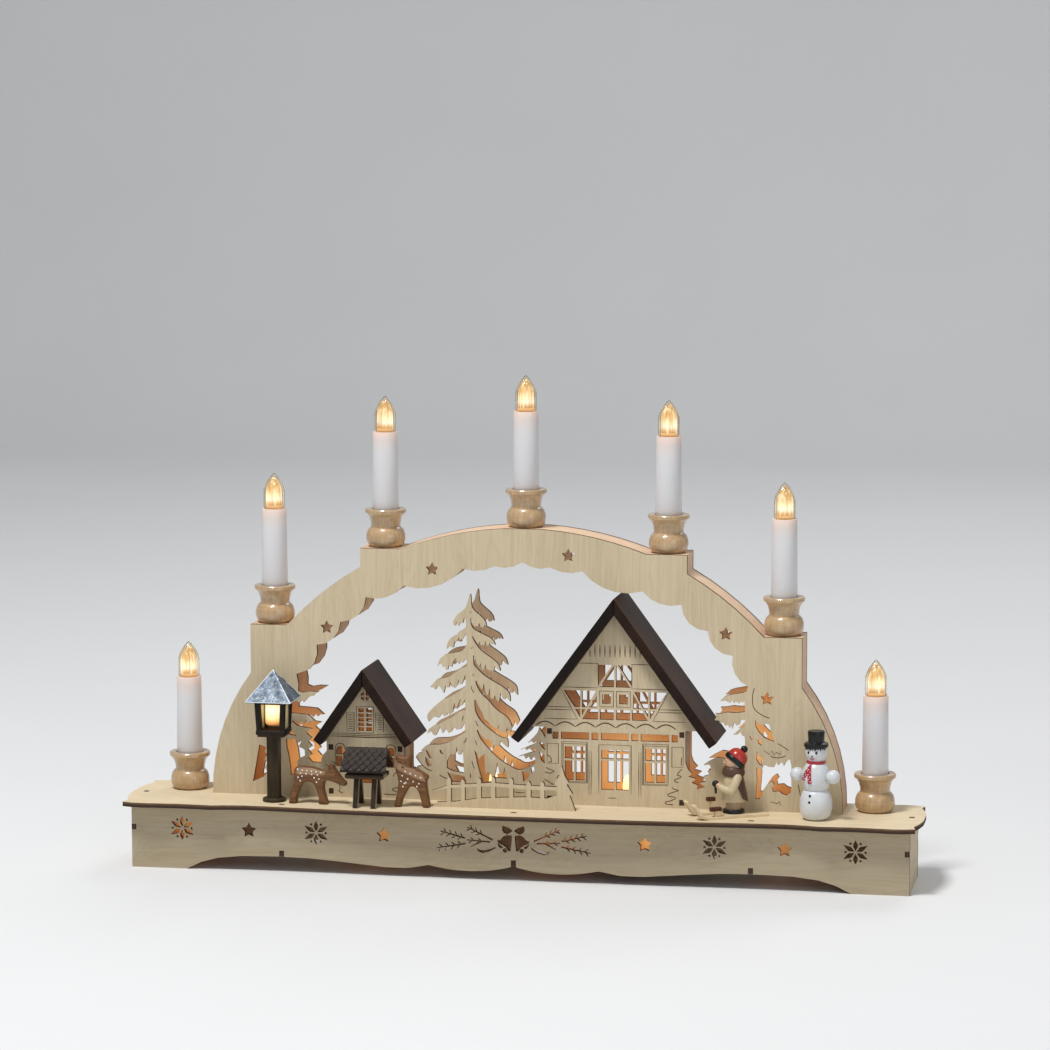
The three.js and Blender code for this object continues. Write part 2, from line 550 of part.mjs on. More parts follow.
// The opening under the crown, clockwise from the top middle: cloud scallops, the right trees,
// the large house, the fir, the small house and the left trees.
function skyOutline() {
  const large = roofGeometry(LARGE_HOUSE);
  const small = roofGeometry(SMALL_HOUSE);
  const [lx, sx] = [LARGE_HOUSE.x, SMALL_HOUSE.x];
  const [lw, sw] = [LARGE_HOUSE.wall + 0.8, SMALL_HOUSE.wall + 1.4];
  const scallops = new Outline(0, 201)
    .arc(18, 198, 2.2, 3)
    .arc(39, 196, 2.2, 3)
    .arc(78, 184, 6.2, 5)
    .arc(103, 176, 4, 4)
    .arc(120, 159.5, 5, 4)
    .arc(136, 144, 4.6, 4)
    .arc(146, 124.5, 4, 4).points;
  const rightTrees = [
    [144.9, 121.6],
    ...bough([[143, 120.6], [138.6, 119.7], [134.5, 118.9], [131, 117.6], [128, 114.7]], [[131.5, 115],
      [134.4, 113.5], [135.6, 115.2], [137, 113.3], [138, 114.8], [140.3, 113.4], [141.2, 115.2],
      [142.4, 113.8], [143.5, 115.4], [144, 112]], 1),
    ...bough([[144, 108.2], [138, 107.2], [132.8, 107.6], [128.7, 106.6], [125, 106.4]],
      [[125.8, 104.6], [124.4, 102.3], [127.5, 102.1], [128.1, 100.2], [129.9, 101], [131.6, 98.6],
      [133, 99.6], [134.2, 97.4], [135.2, 99], [136, 96.9], [137, 101.4], [138.6, 99.2], [140.2, 99.6],
      [141.2, 102.8], [144, 103.2]], 1),
    ...bough([[143.9, 99.4], [140.6, 96.9], [136.6, 93.1]], [[139.8, 93.6], [141, 95.2], [142.4, 92.8],
      [144, 92.2]], 1),
    [144.3, 84],
    [139.4, 80.6],
    [143.6, 78.8],
    [144.4, 72],
    [137.2, 70.6],
    [133.4, 74.8],
    ...bough([[130.6, 77.6], [126.4, 78.2], [121, 75.4], [117.4, 73]], [[121.4, 73.2], [122.6, 70.4],
      [120, 68.8], [121.6, 67], [117.2, 65.4], [119, 62.4]], 1),
    [115.2, 61.2],
    [118.4, 58.8],
    [113.4, 57.2],
    [114, 59.6],
    [109.8, 61.2],
    [112.6, 63.8],
    [107.8, 65.2],
    [110, 67.2],
    [107.3, 70],
    [lx + lw, 74.2],
  ];
  const largeHouse = [
    [lx + lw, LARGE_HOUSE.eave],
    [lx + large.gableHalf, LARGE_HOUSE.eave],
    [lx, large.gableTop],
    [lx - large.gableHalf, LARGE_HOUSE.eave],
    [lx - lw + 0.3, LARGE_HOUSE.eave],
  ];
  const middleTree = [
    [14.8, 87.4],
    [10.8, 94],
    ...bough([[9.5, 90.5], [7, 87.6], [3.4, 84.3]], [[6, 85.6], [6.6, 84], [8.9, 86]], 1),
    ...bough([[8.8, 83.6], [4, 81.6], [-1.6, 79]], [[1.6, 80.4], [2.6, 78.8], [4.6, 80.6], [5.6, 78.8],
      [8.6, 80.8]], 1),
    ...bough([[8.5, 78.4], [3, 76.8], [-2.9, 74.6]], [[0.6, 75.6], [2, 73], [3.8, 74.8], [5.4, 72.4],
      [6.8, 74.8], [8.2, 74.2]], 1),
    [8, 70.6],
    ...new Outline(4.2, 68.5).curve([[0.4, 66.5], [-3.7, 65.9], [-7.1, 67.6], [-10.9, 69.4],
      [-15.4, 72.4], [-19.2, 75.7], [-22.2, 78.7], [-25.2, 82.1], [-28.2, 86.1], [-30.3, 91]],
      2).points,
  ];
  const fir = [
    ...FIR_RIGHT.flat().reverse(),
    [-33.7, 178],
    [-34.3, 179.5],
    ...FIR_LEFT.flat(),
    ...new Outline(-38, 89.4).curve([[-41.8, 87], [-44.8, 84.9], [-48.6, 82.6], [-53.9, 81],
      [-57.3, 80.8], [-62, 80.4], [-64.8, 79]], 2).points,
    [-67, 76.8],
    [-65.9, 75.6],
    [-69, 74.6],
    [-70.6, 72.6],
    [-68.2, 69.4],
    [-66.2, 66.6],
    [-69.6, 66.2],
    [-71.4, 63.6],
    [-69.2, 61.4],
    [-72.6, 58.8],
    [sx + sw, 60.8],
  ];
  const smallHouse = [
    [sx + sw, SMALL_HOUSE.eave],
    [sx + small.gableHalf, SMALL_HOUSE.eave],
    [sx, small.gableTop],
    [sx - small.gableHalf, SMALL_HOUSE.eave],
    [sx - sw, SMALL_HOUSE.eave],
  ];
  const leftTrees = [
    [sx - sw, 74.6],
    [-131.8, 72.2],
    [-133.5, 69.2],
    [-133.6, 66.2],
    [-139.8, 66.6],
    [-142.4, 69.6],
    [-139.8, 71.6],
    [-142.6, 74.8],
    [-139.6, 77],
    [-142.2, 80],
    [-140, 82.6],
    [-143.4, 85.4],
    ...bough([[-152.8, 92.8], [-149, 90.2], [-144, 89.2], [-139.4, 88.6]], [[-142.4, 86.8],
      [-143.4, 85.9]], 1).reverse(),
    ...bough([[-154.6, 98.6], [-148.2, 98.3], [-142.2, 97.8], [-137.6, 93.8]], [[-140.4, 93.8],
      [-141.8, 92.2], [-143.4, 94.2], [-145, 91.8], [-147, 93.6], [-149, 91.8], [-152.6, 94.4]],
      1).reverse(),
    ...bough([[-148.6, 113.4], [-145.5, 112.2], [-140.4, 113.2], [-134.8, 113]], [[-138.8, 110.6],
      [-142.2, 108.9], [-144.9, 105.8], [-146.3, 107.6], [-147.6, 105.6], [-150.6, 107.2],
      [-154.8, 104.2]], 1).reverse(),
    [-148.4, 118],
  ];
  const leftScallops = mirrored(scallops).map(([x, z], i) => (i === 0 ? [-149.6, z] : [x, z]));
  return [...scallops, ...rightTrees, ...largeHouse, ...middleTree, ...fir, ...smallHouse, ...leftTrees,
    ...leftScallops.slice(0, -1)];
}

// Windows and timber frame of the large house: each opening is a region less the bars across it.
const BAR = 1.2;
function bar(x0, z0, x1, z1, width = BAR) {
  const length = Math.hypot(x1 - x0, z1 - z0);
  const [nx, nz] = [(-(z1 - z0) / length) * (width / 2), ((x1 - x0) / length) * (width / 2)];
  const reach = 0.6;
  const [ex, ez] = [((x1 - x0) / length) * reach, ((z1 - z0) / length) * reach];
  return [
    [x0 - ex + nx, z0 - ez + nz],
    [x0 - ex - nx, z0 - ez - nz],
    [x1 + ex - nx, z1 + ez - nz],
    [x1 + ex + nx, z1 + ez + nz],
  ];
}

function largeHouseOpenings() {
  const c = LARGE_HOUSE.x - 0.3;
  const both = (list) => [...list, ...list.map((points) => points.map(([x, z]) => [2 * c - x,
    z]).reverse())];
  const regions = [
    rectangle(c - 11, c + 11, 121.6, 136),
    ...both([
      [[c - 33.4, 119], [c - 26.4, 108.2], [c - 11.8, 108.2], [c - 11.8, 119]],
      [[c - 26, 107], [c - 22, 100.4], [c - 0.8, 100.4], [c - 0.8, 107]],
      rectangle(c - 8.3, c - 2.7, 110.8, 117),
      rectangle(c - 40.7, c - 36.7, 87.1, 91.8),
      rectangle(c - 35.2, c - 16.7, 87.1, 91.8),
      rectangle(c - 15.2, c - 10.7, 87.1, 91.8),
      rectangle(c - 32.7, c - 19.6, 60.4, 82.4),
    ]),
    rectangle(c - 9, c + 9, 87.1, 91.8),
    rectangle(c - 8.9, c + 8.9, 54.8, 80.8),
  ];
  const bars = [
    bar(c, 121, c, 137),
    ...both([
      bar(c - 11.2, 121, c - 0.6, 137),
      bar(c - 22, 99.8, c - 22, 119.4),
      bar(c - 22.2, 100, c - 11.4, 119.6),
      bar(c - 10.4, 100, c - 10.4, 107.4),
      bar(c - 26.2, 60, c - 26.2, 83, 1.3),
      bar(c - 33, 73.9, c - 19, 73.9, 1.3),
    ]),
    bar(c, 54, c, 81, 1.4),
    bar(c - 9, 74.4, c + 9, 74.4, 1.3),
  ];
  return { regions, bars };
}

function smallHouseOpenings() {
  const c = SMALL_HOUSE.x;
  const round = { z: 111.1, r: 3 };
  const pane = { half: 4.5, low: 88.3, high: 103.2 };
  const regions = [
    new Outline(c - round.r, round.z).arc(c + round.r, round.z, round.r, 5)
      .arc(c - round.r, round.z, round.r, 5).points.slice(0, -1),
    rectangle(c - pane.half, c + pane.half, pane.low, pane.high),
    ...[-1, 1].map((s) => new Outline(c + s * 16.8 - 2.7, 64.6).to([c + s * 16.8 + 2.7, 64.6],
      [c + s * 16.8 + 2.7, 75.6]).arc(c + s * 16.8 - 2.7, 75.6, 2.4, 4).points),
    rectangle(c - 4.6, c + 4.6, 54, 66),
  ];
  const bars = [
    bar(c, round.z - round.r - 0.5, c, round.z + round.r + 0.5, 1),
    bar(c - round.r - 0.5, round.z, c + round.r + 0.5, round.z, 1),
    bar(c, pane.low - 0.5, c, pane.high + 0.5, 1.5),
    ...[91.2, 94.1, 97.1, 100.2].map((z) => bar(c - pane.half - 0.2, z, c + pane.half + 0.2, z, 0.9)),
    bar(c - 19.8, 71.8, c - 13.8, 71.8, 1),
    bar(c + 13.8, 71.8, c + 19.8, 71.8, 1),
  ];
  return { regions, bars };
}

// Cut-outs in the trees of both sides and round the foot of the fir.
function sceneryOpenings() {
  return [
    [[-175, 77.2], [-170.4, 75.6], [-171.4, 72.6], [-169.8, 70.8], [-171.6, 67.6], [-170, 65.4],
      [-171.4, 62], [-169.8, 59], [-172.2, 56], [-179.6, 52.6]],
    [[-155.8, 84.6], [-153.4, 87], [-149.6, 83.4]],
    [[-157, 82.2], [-153.6, 80.8], [-151.8, 82.4], [-148.6, 79], [-146.6, 80.4], [-148.6, 76.6],
      [-144.6, 74.6], [-144.4, 70.6], [-148.4, 68.6], [-149.6, 67], [-149.6, 58], [-154, 57.6],
      [-154.6, 64], [-155.4, 70], [-156.8, 76]],
    [[150.6, 103.4], [151.8, 101.2], [155.1, 99.8], [157.1, 100.6], [158.6, 101], [159.9, 99.8],
      [160.6, 96.7], [162.1, 92.5], [162.9, 89.4], [159.7, 90.4], [156.2, 92], [152.7, 95.7],
      [150.6, 99.3]],
    [[152.2, 90.4], [153.9, 91.3], [155.4, 88.6], [154.6, 86.8], [152.6, 88]],
    [[146.9, 92.8], [149.9, 91.6], [148, 90.2]],
    [[151.8, 83], [153.6, 79.8], [156.4, 78.4], [155.3, 76.2], [155.1, 73.4], [153.2, 74.6],
      [151.4, 77.7]],
    [[151.5, 72.6], [154.9, 71.2], [156.4, 74.4], [159.4, 73.2], [162.8, 73], [164.2, 76.3],
      [165.6, 74.2], [167.9, 76.6], [169.1, 73.8], [170.8, 77], [172.9, 78.6], [173.9, 74],
      [173.9, 57.5], [171.1, 55], [168.2, 55.9], [166, 57.6], [162.1, 57.1], [161.6, 59.6],
      [163, 61.6], [161.6, 64], [158.4, 61.6], [156, 58.2], [155.9, 55.4], [153.8, 52.4],
      [150.9, 52.2], [151.8, 64.3]],
    [[-31.8, 78], [-29.9, 75.6], [-29.6, 73.6], [-28.3, 72], [-27.4, 73.8], [-25.4, 75.8],
      [-24.9, 74.4], [-24.9, 64.4], [-23.6, 62.4], [-22.6, 64.2], [-20.9, 62], [-20.3, 57.6],
      [-26.4, 56.6], [-28, 62], [-29.8, 68], [-30.8, 73]],
    [[-16.9, 70.6], [-15.8, 66.8], [-14.4, 63], [-13.5, 62.4], [-12.6, 64.4], [-12, 67.8], [-11.4, 65],
      [-10.5, 59.8], [-18.7, 60.4]],
    [[5, 67.4], [7.4, 68.4], [7.6, 66], [5.8, 64]],
    [[-0.4, 65], [2.4, 64.6], [4.8, 62.6], [2.6, 60], [0.4, 58.4]],
    [[10.6, 84.9], [14.4, 83.6], [14.6, 79.4], [12.4, 81.2]],
    [[10.6, 78.4], [14.2, 76.4], [14.5, 70.4], [11.8, 73]],
    [[-39.4, 78], [-41, 74.4], [-42.8, 75], [-43.4, 80], [-44.4, 75], [-47.6, 74.6], [-50, 70.2],
      [-50, 65.6], [-46.5, 63.9], [-38.6, 62.4]],
    [[-49.8, 62.8], [-46.2, 62], [-38.2, 60.6], [-37, 56.6], [-46.6, 56.6]],
    [[-63.9, 77.2], [-61.4, 76], [-59.4, 72.4], [-61.2, 71.6], [-63, 74.4]],
    [[-64.2, 72.8], [-61.8, 70.6], [-59.8, 67.2], [-62.4, 66.4], [-64, 69]],
    [[-55, 77.2], [-53.6, 77.6], [-52.2, 74.8], [-54, 75]],
  ];
}

const ARCH_STARS = [[-59, 195.2], [-129, 155.6], [30, 206], [131.6, 158], [158.2, 117]];

// One sheet of the arch with everything that is cut in it.
function archSheet(y0) {
  const edge = archEdge();
  const foot = SHEET_TABS.flatMap(([x, w]) => [
    [x - w, DRAWN_DECK],
    [x - w, DRAWN_DECK - PLY],
    [x + w, DRAWN_DECK - PLY],
    [x + w, DRAWN_DECK],
  ]);
  const outline = [...mirrored(edge), ...edge];
  const sheet = upright([...outline.reverse(), ...foot], y0, y0 + PLY);
  const reach = [y0 - 1, y0 + PLY + 1];
  const past = [y0 - 2, y0 + PLY + 2];
  const framed = [largeHouseOpenings(), smallHouseOpenings()].flatMap(({ regions, bars }) => {
    const bodies = bars.map((points) => upright(points, ...past));
    return regions.map((points) => cutBy(upright(points, ...reach), bodies));
  });
  const slots = [LARGE_HOUSE, SMALL_HOUSE].flatMap((house) =>
    [-1, 1].flatMap((s) =>
      house.tabs.map((z) => {
        const x = house.x + s * (house.wall - PLY / 2);
        const [hx, hz] = [PLY / 2 + slack, TAB / 2 + slack];
        return box(x - hx, x + hx, ...reach, z - hz, z + hz);
      }),
    ),
  );
  const plain = [skyOutline(), ...sceneryOpenings(),
    ...ARCH_STARS.map(([x, z]) => star(x, z, ARCH_STAR))];
  return cutBy(sheet, [...framed, ...slots, ...plain.map((points) => upright(points, ...reach))]);
}

// A band that follows a path in X and Z and fills y0 to y1: it reaches the given distances to the
// left and to the right of the path.
function band(path, left, right, y0, y1) {
  const normal = ([ax, az], [bx, bz]) => {
    const length = Math.hypot(bx - ax, bz - az);
    return [(bz - az) / length, -(bx - ax) / length];
  };
  const offset = (distance) =>
    path.map((p, i) => {
      const before = normal(path[Math.max(i - 1, 0)], path[Math.max(i, 1)]);
      const after = normal(path[Math.min(i, path.length - 2)], path[Math.min(i + 1, path.length - 1)]);
      const scale = distance / (1 + before[0] * after[0] + before[1] * after[1]);
      return [p[0] + (before[0] + after[0]) * scale, p[1] + (before[1] + after[1]) * scale];
    });
  return upright([...offset(-left), ...offset(right).reverse()], y0, y1);
}

const coverStrip = (path) => band(path, 0, STRIP, GAP_FRONT_Y, GAP_BACK_Y);

const CANDLES = [
  [-OUTER_CANDLE_X, DRAWN_DECK],
  [-LOWER_CANDLE_X, LOWER_STEP_Z],
  [-UPPER_CANDLE_X, UPPER_STEP_Z],
  [0, CROWN_Z],
  [UPPER_CANDLE_X, UPPER_STEP_Z],
  [LOWER_CANDLE_X, LOWER_STEP_Z],
  [OUTER_CANDLE_X, DRAWN_DECK],
];

const wireHoleAt = (x, z) =>
  rod(WIRE_HOLE_R + 0.3, [x, CANDLE_Y, z - STRIP - 2], [x, CANDLE_Y, z + 1]);

function crownStrip() {
  const upperSteps = archEdge().findIndex(([x, z]) => x === UPPER_STEP_OUTER_X && z === UPPER_STEP_Z);
  const half = archEdge().slice(0, upperSteps + 1);
  const body = coverStrip([...mirrored(half), ...half]);
  return cutBy(body, CANDLES.slice(2, 5).map(([x, z]) => wireHoleAt(x, z)));
}

function sideStrip(sign) {
  const edge = archEdge();
  const start = edge.findIndex(([x, z]) => x === UPPER_STEP_OUTER_X && z < UPPER_STEP_Z);
  const path = [[UPPER_STEP_OUTER_X, UPPER_STEP_Z - STRIP], ...edge.slice(start)];
  const body = coverStrip(path).subtract(wireHoleAt(LOWER_CANDLE_X, LOWER_STEP_Z));
  const floor = box(0, ARCH_FOOT_X + 20, GAP_FRONT_Y - 1, GAP_BACK_Y + 1, DRAWN_DECK - 20, DRAWN_DECK);
  const trimmed = body.subtract(floor);
  return sign > 0 ? trimmed : trimmed.mirror([1, 0, 0]);
}

// Candle parts, drawn about their own axis with the foot of the cup at zero.
function candleCup() {
  return turned([
    [WIRE_HOLE_R, 0],
    [10.2, 0],
    [12.4, 2.4],
    [CUP_BELLY_R, 6],
    [11.9, 10],
    [CUP_WAIST_R, 12.4],
    [CUP_WAIST_R + 0.6, 18],
    [CUP_RIM_R, 22.2],
    [CUP_RIM_R - 0.4, CUP_HEIGHT],
    [SLEEVE_FOOT_R + SEAT_GAP + 0.1, CUP_HEIGHT],
    [SLEEVE_FOOT_R + SEAT_GAP, CUP_FLOOR_Z],
    [WIRE_HOLE_R, CUP_FLOOR_Z],
    [WIRE_HOLE_R, 0],
  ], 12);
}

function candleSleeve() {
  return turned([
    [WIRE_HOLE_R + 0.6, CUP_FLOOR_Z + SEAT_GAP],
    [SLEEVE_FOOT_R, CUP_FLOOR_Z + SEAT_GAP],
    [SLEEVE_TOP_R, SLEEVE_TOP_Z],
    [SLEEVE_BORE_R, SLEEVE_TOP_Z],
    [SLEEVE_BORE_R, SLEEVE_TOP_Z - BULB_BASE_LENGTH - SEAT_GAP],
    [WIRE_HOLE_R + 0.6, SLEEVE_TOP_Z - BULB_BASE_LENGTH - 4],
    [WIRE_HOLE_R + 0.6, CUP_FLOOR_Z + SEAT_GAP],
  ], 12);
}

function candleBulb() {
  const seat = SLEEVE_TOP_Z + SEAT_GAP;
  const ogive = Array.from({ length: 4 }, (_, i) => {
    const t = (i + 1) / 4.5;
    return [BULB_R * Math.cos((t * Math.PI) / 2) ** 0.75, seat + BULB_HEIGHT * (0.42 + 0.56 * t ** 0.95)];
  });
  return turned([
    [0, seat - BULB_BASE_LENGTH],
    [BULB_BASE_R, seat - BULB_BASE_LENGTH],
    [BULB_BASE_R, seat],
    [BULB_R * 0.97, seat],
    [BULB_R, seat + BULB_HEIGHT * 0.42],
    ...ogive,
    [0, seat + BULB_HEIGHT],
  ], 10);
}

// Roof board of a house on one side of the ridge.
function roofBoard(house, sign) {
  const { angle, underRidge } = roofGeometry(house);
  const [dx, dz] = [house.run * Math.cos(angle), house.run * Math.sin(angle)];
  const [tx, tz] = [ROOF_BOARD * Math.sin(angle), ROOF_BOARD * Math.cos(angle)];
  const x = (offset) => house.x + sign * offset;
  const points = [
    [x(SEAT_GAP / 2), house.ridge - (SEAT_GAP / 2) * Math.tan(angle)],
    [x(dx), house.ridge - dz],
    [x(dx - tx), house.ridge - dz - tz],
    [x(SEAT_GAP / 2), underRidge - (SEAT_GAP / 2) * Math.tan(angle)],
  ];
  return upright(points, ROOF_FRONT_Y, ROOF_BACK_Y);
}

// Side wall of a house, between the sheets, with tabs that show as dark squares in front.
function houseWall(house, sign) {
  const middle = house.x + sign * (house.wall - PLY / 2);
  const [x0, x1] = [middle - PLY / 2, middle + PLY / 2];
  const top = house.tabs[0] + TAB / 2;
  const web = box(x0, x1, GAP_FRONT_Y, GAP_BACK_Y, DRAWN_DECK, top);
  const tabs = house.tabs.map((z) => box(x0, x1, ARCH_FRONT_Y, ARCH_BACK_Y, z - TAB / 2, z + TAB / 2));
  return joined([web, ...tabs]);
}

// Picket fence on snowy ground, with a small fir at its right end.
function picketFence() {
  const [y0, y1] = [FENCE_Y - FENCE_SHEET / 2, FENCE_Y + FENCE_SHEET / 2];
  const ground = new Outline(-55.4, DRAWN_DECK)
    .to([-52, 47.4])
    .curve([[-40, 48], [-25, 50.6], [-10, 51.6], [6, 52.4], [20, 52]], 1)
    .to([26, 54.5], [26, 60], [24.4, 62], [27.6, 66.4], [29.3, 73.3], [31.2, 66.8], [34, 62.6],
      [32.6, 61.4], [36.2, 55.4], [34.4, 54.4], [38.2, DRAWN_DECK]).points;
  const posts = [[-44.2, 64], [-35.2, 62.8], [-24.5, 64], [-15.2, 65], [-3.5, 64.6], [7.8, 63],
    [16.7, 63]].map(([x, top]) =>
    new Outline(x - 1.4, 46).to([x + 1.4, 46], [x + 1.3, top - 1.6], [x, top],
      [x - 1.3, top - 1.6]).points,
  );
  const rail = new Outline(-55.4, 54.4).curve([[-44, 56.8], [-17, 58.8], [7, 57.4], [27, 57.4]],
    1).to([27, 59.6]).curve([[7, 60], [-17, 61], [-44, 58.6], [-55.4, 54.6]], 1).points;
  const body = joined([ground, ...posts, rail].map((points) => upright(points, y0, y1)));
  return body;
}

// Street lamp: round foot, square post and an open lantern frame, one piece.
const LANTERN = { foot: 89.6, head: 110.3, footHalf: 8.2, headHalf: 9.3, cornerPost: 1.5 };
const LANTERN_GLASS = { r: 5.4, foot: 94.6 };
function lampPost() {
  const { x, y } = LAMP;
  const foot = turned([[0, DRAWN_DECK], [7.6, DRAWN_DECK], [7.8, DRAWN_DECK + 1.6],
    [6.4, DRAWN_DECK + 2.6], [0, DRAWN_DECK + 2.6]], 12);
  const half = LAMP_POST_SIDE / 2;
  const post = box(-half, half, -half, half, DRAWN_DECK + 1, LANTERN.foot - 1);
  const seatHalf = LANTERN.footHalf + 0.4;
  const seat = box(-seatHalf, seatHalf, -seatHalf, seatHalf, LANTERN.foot - 2.2, LANTERN.foot);
  const corners = [[-1, -1], [1, -1], [1, 1], [-1, 1]].map(([sx, sy]) => {
    const at = (r, z) => [sx * (r - LANTERN.cornerPost), sy * (r - LANTERN.cornerPost), z];
    return rod(LANTERN.cornerPost, at(LANTERN.footHalf, LANTERN.foot - 1),
      at(LANTERN.headHalf, LANTERN.head - 0.6), 6);
  });
  const [outer, inner] = [LANTERN.headHalf, LANTERN.headHalf - 2.4];
  const headRing = box(-outer, outer, -outer, outer, LANTERN.head - 1.6, LANTERN.head).subtract(
    box(-inner, inner, -inner, inner, LANTERN.head - 3, LANTERN.head + 1),
  );
  return joined([foot, post, seat, ...corners, headRing]).translate([x, y, 0]);
}

// The frosted glass of the lantern hangs from the roof.
function lampScreen() {
  const { r, foot } = LANTERN_GLASS;
  return turned([[0, foot], [r - 0.6, foot], [r, foot + 1.2], [r, LANTERN.head], [0, LANTERN.head]],
    12).translate([LAMP.x, LAMP.y, 0]);
}

function lampRoof() {
  const half = 15;
  const rim = 0.8;
  const tip = DRAWN_DECK + LAMP_HEIGHT;
  const geometry = new THREE.CylinderGeometry(0.35, half * Math.SQRT2, tip - LANTERN.head - rim, 4);
  geometry.rotateY(Math.PI / 4);
  geometry.rotateX(Math.PI / 2);
  geometry.translate(LAMP.x, LAMP.y, (tip + LANTERN.head + rim) / 2);
  const eave = box(LAMP.x - half, LAMP.x + half, LAMP.y - half, LAMP.y + half, LANTERN.head,
    LANTERN.head + rim);
  return solid(geometry).add(eave);
}

// A fawn is a sawn silhouette with its body rounded over on both faces.
function fawn(bodyPoints, legPoints, y) {
  const half = FAWN_THICKNESS / 2;
  const bevel = 1.4;
  const rounded = new THREE.ExtrudeGeometry(shapeOf(bodyPoints), {
    depth: FAWN_THICKNESS - 2 * bevel,
    bevelThickness: bevel,
    bevelSize: bevel * 0.7,
    bevelOffset: -bevel * 0.7,
    bevelSegments: 1,
  });
  rounded.rotateX(Math.PI / 2);
  rounded.translate(0, y + half - bevel, 0);
  const legs = legPoints.map((points) => upright(points, y - half + 0.8, y + half - 0.8));
  return joined([solid(rounded), ...legs]);
}

function fawnGrazing() {
  const z = DRAWN_DECK;
  const body = [[-144, z + 17], [-145, z + 21], [-142.8, z + 24.3], [-132.2, z + 24],
    [-126.8, z + 21.8], [-121.8, z + 22], [-120, z + 25.6], [-117.8, z + 23.4], [-115, z + 19.8],
    [-111, z + 13.8], [-113.2, z + 12.6], [-119.6, z + 15.2], [-125.2, z + 15.8], [-128, z + 12.8],
    [-133.2, z + 14.4], [-139.2, z + 14.2]];
  const legs = [
    [[-144.6, z + 19], [-146.6, z + 8.6], [-148.6, z], [-144, z], [-142.4, z + 7.4],
      [-137.2, z + 15.4], [-139.2, z + 20]],
    [[-133.2, z + 19], [-130.4, z + 9.6], [-128.6, z], [-123.2, z], [-125.6, z + 8.4], [-125.8, z + 18]],
  ];
  return fawn(body, legs, FAWN_GRAZING_Y);
}

function fawnAlert() {
  const z = DRAWN_DECK;
  const body = [[-78.4, z + 26.2], [-77, z + 27.6], [-78, z + 34.4], [-75, z + 33], [-70.8, z + 32.8],
    [-67.2, z + 34.6], [-68, z + 29.2], [-67.8, z + 26], [-60, z + 22.2], [-57, z + 19],
    [-59.8, z + 14.4], [-65.4, z + 13.6], [-71.4, z + 13.8], [-76.2, z + 16.4]];
  const legs = [
    [[-76, z + 19], [-77, z + 10], [-79.2, z], [-75.2, z], [-72, z + 8], [-69, z + 15],
      [-70.4, z + 18.4]],
    [[-66.8, z + 18.4], [-64.4, z + 13.6], [-60.2, z], [-56.2, z], [-57.8, z + 9.4], [-58.2, z + 17.6]],
  ];
  return fawn(body, legs, FAWN_ALERT_Y);
}

// Feeding rack: a trough on splayed legs under a small pitched roof.
function feedingRack() {
  const z = DRAWN_DECK;
  const { x, y } = RACK;
  const alongX = (points, x0, x1) => {
    const geometry = new THREE.ExtrudeGeometry(shapeOf(points), {
      depth: x1 - x0,
      bevelEnabled: false,
    });
    geometry.rotateX(Math.PI / 2);
    geometry.rotateZ(Math.PI / 2);
    geometry.translate(x0, 0, 0);
    return solid(geometry);
  };
  const roof = alongX([[y - 12, z + 23.6], [y - 12.8, z + 25.2], [y - 1, z + 38], [y + 1, z + 38],
    [y + 12.8, z + 25.2], [y + 12, z + 23.6], [y, z + 35]], x - 15.5, x + 15.5);
  const slantedEnds = upright([[x - 15.2, z + 22], [x + 15.2, z + 22], [x + 13.2, z + 40],
    [x - 13.2, z + 40]], y - 20, y + 20);
  const gable = alongX([[y - 6, z + 20], [y + 6, z + 20], [y + 6, z + 29.4], [y, z + 35.6],
    [y - 6, z + 29.4]], x - 10.6, x + 10.6);
  const trough = box(x - 11.8, x + 12, y - 7, y + 7, z + 18.6, z + 22.2);
  const legs = [-5.6, 6.2].flatMap((dx) =>
    [-1, 1].map((s) => alongX([[y + s * 8.6 - 1.5, z], [y + s * 8.6 + 1.5, z],
      [y + s * 3.4 + 1.5, z + 20], [y + s * 3.4 - 1.5, z + 20]], x + dx - 1.6, x + dx + 1.6)),
  );
  return joined([roof.intersect(slantedEnds), gable, trough, ...legs]);
}

// Sledge: two thin runners with turned-up tips, joined by the board that the man stands on.
const RUNNER = { length: 44, width: 6, thickness: 1.6, tipRise: 10 };
const BOARD_TOP = DRAWN_DECK + 1.9;
function sledge() {
  const z = DRAWN_DECK;
  const { length, width, thickness, tipRise } = RUNNER;
  const front = 20 - length;
  const side = (rear) => [[rear, z], [rear, z + thickness], [front + 4, z + thickness], [front, z + 2.8],
    [front - 5, z + tipRise],
    [front - 6.4, z + tipRise - 0.8], [front - 1.6, z + 1.4], [front + 4, z]];
  const runner = (dy) => upright(side(dy > 0 ? 8 : 20), dy - width / 2, dy + width / 2);
  const bracket = (u, v, halfBar, top) =>
    box(u - 0.7, u + 0.7, v - 1, v + 1, z + 1, z + top - 1).add(box(u - halfBar, u + halfBar, v - 1.6,
      v + 1.6, z + top - 2, z + top));
  const half = RUNNER_SPACING / 2;
  const board = box(-7, 9, -half - width / 2, half + width / 2, z + 0.3, BOARD_TOP);
  const parts = [runner(-half), runner(half), bracket(-15, -half, 3.6, 7.4),
    bracket(-12.6, half, 2.6, 11), board];
  return joined(parts).rotate([0, 0, SLEDGE_TURN]).translate([MAN.x, MAN.y, 0]);
}

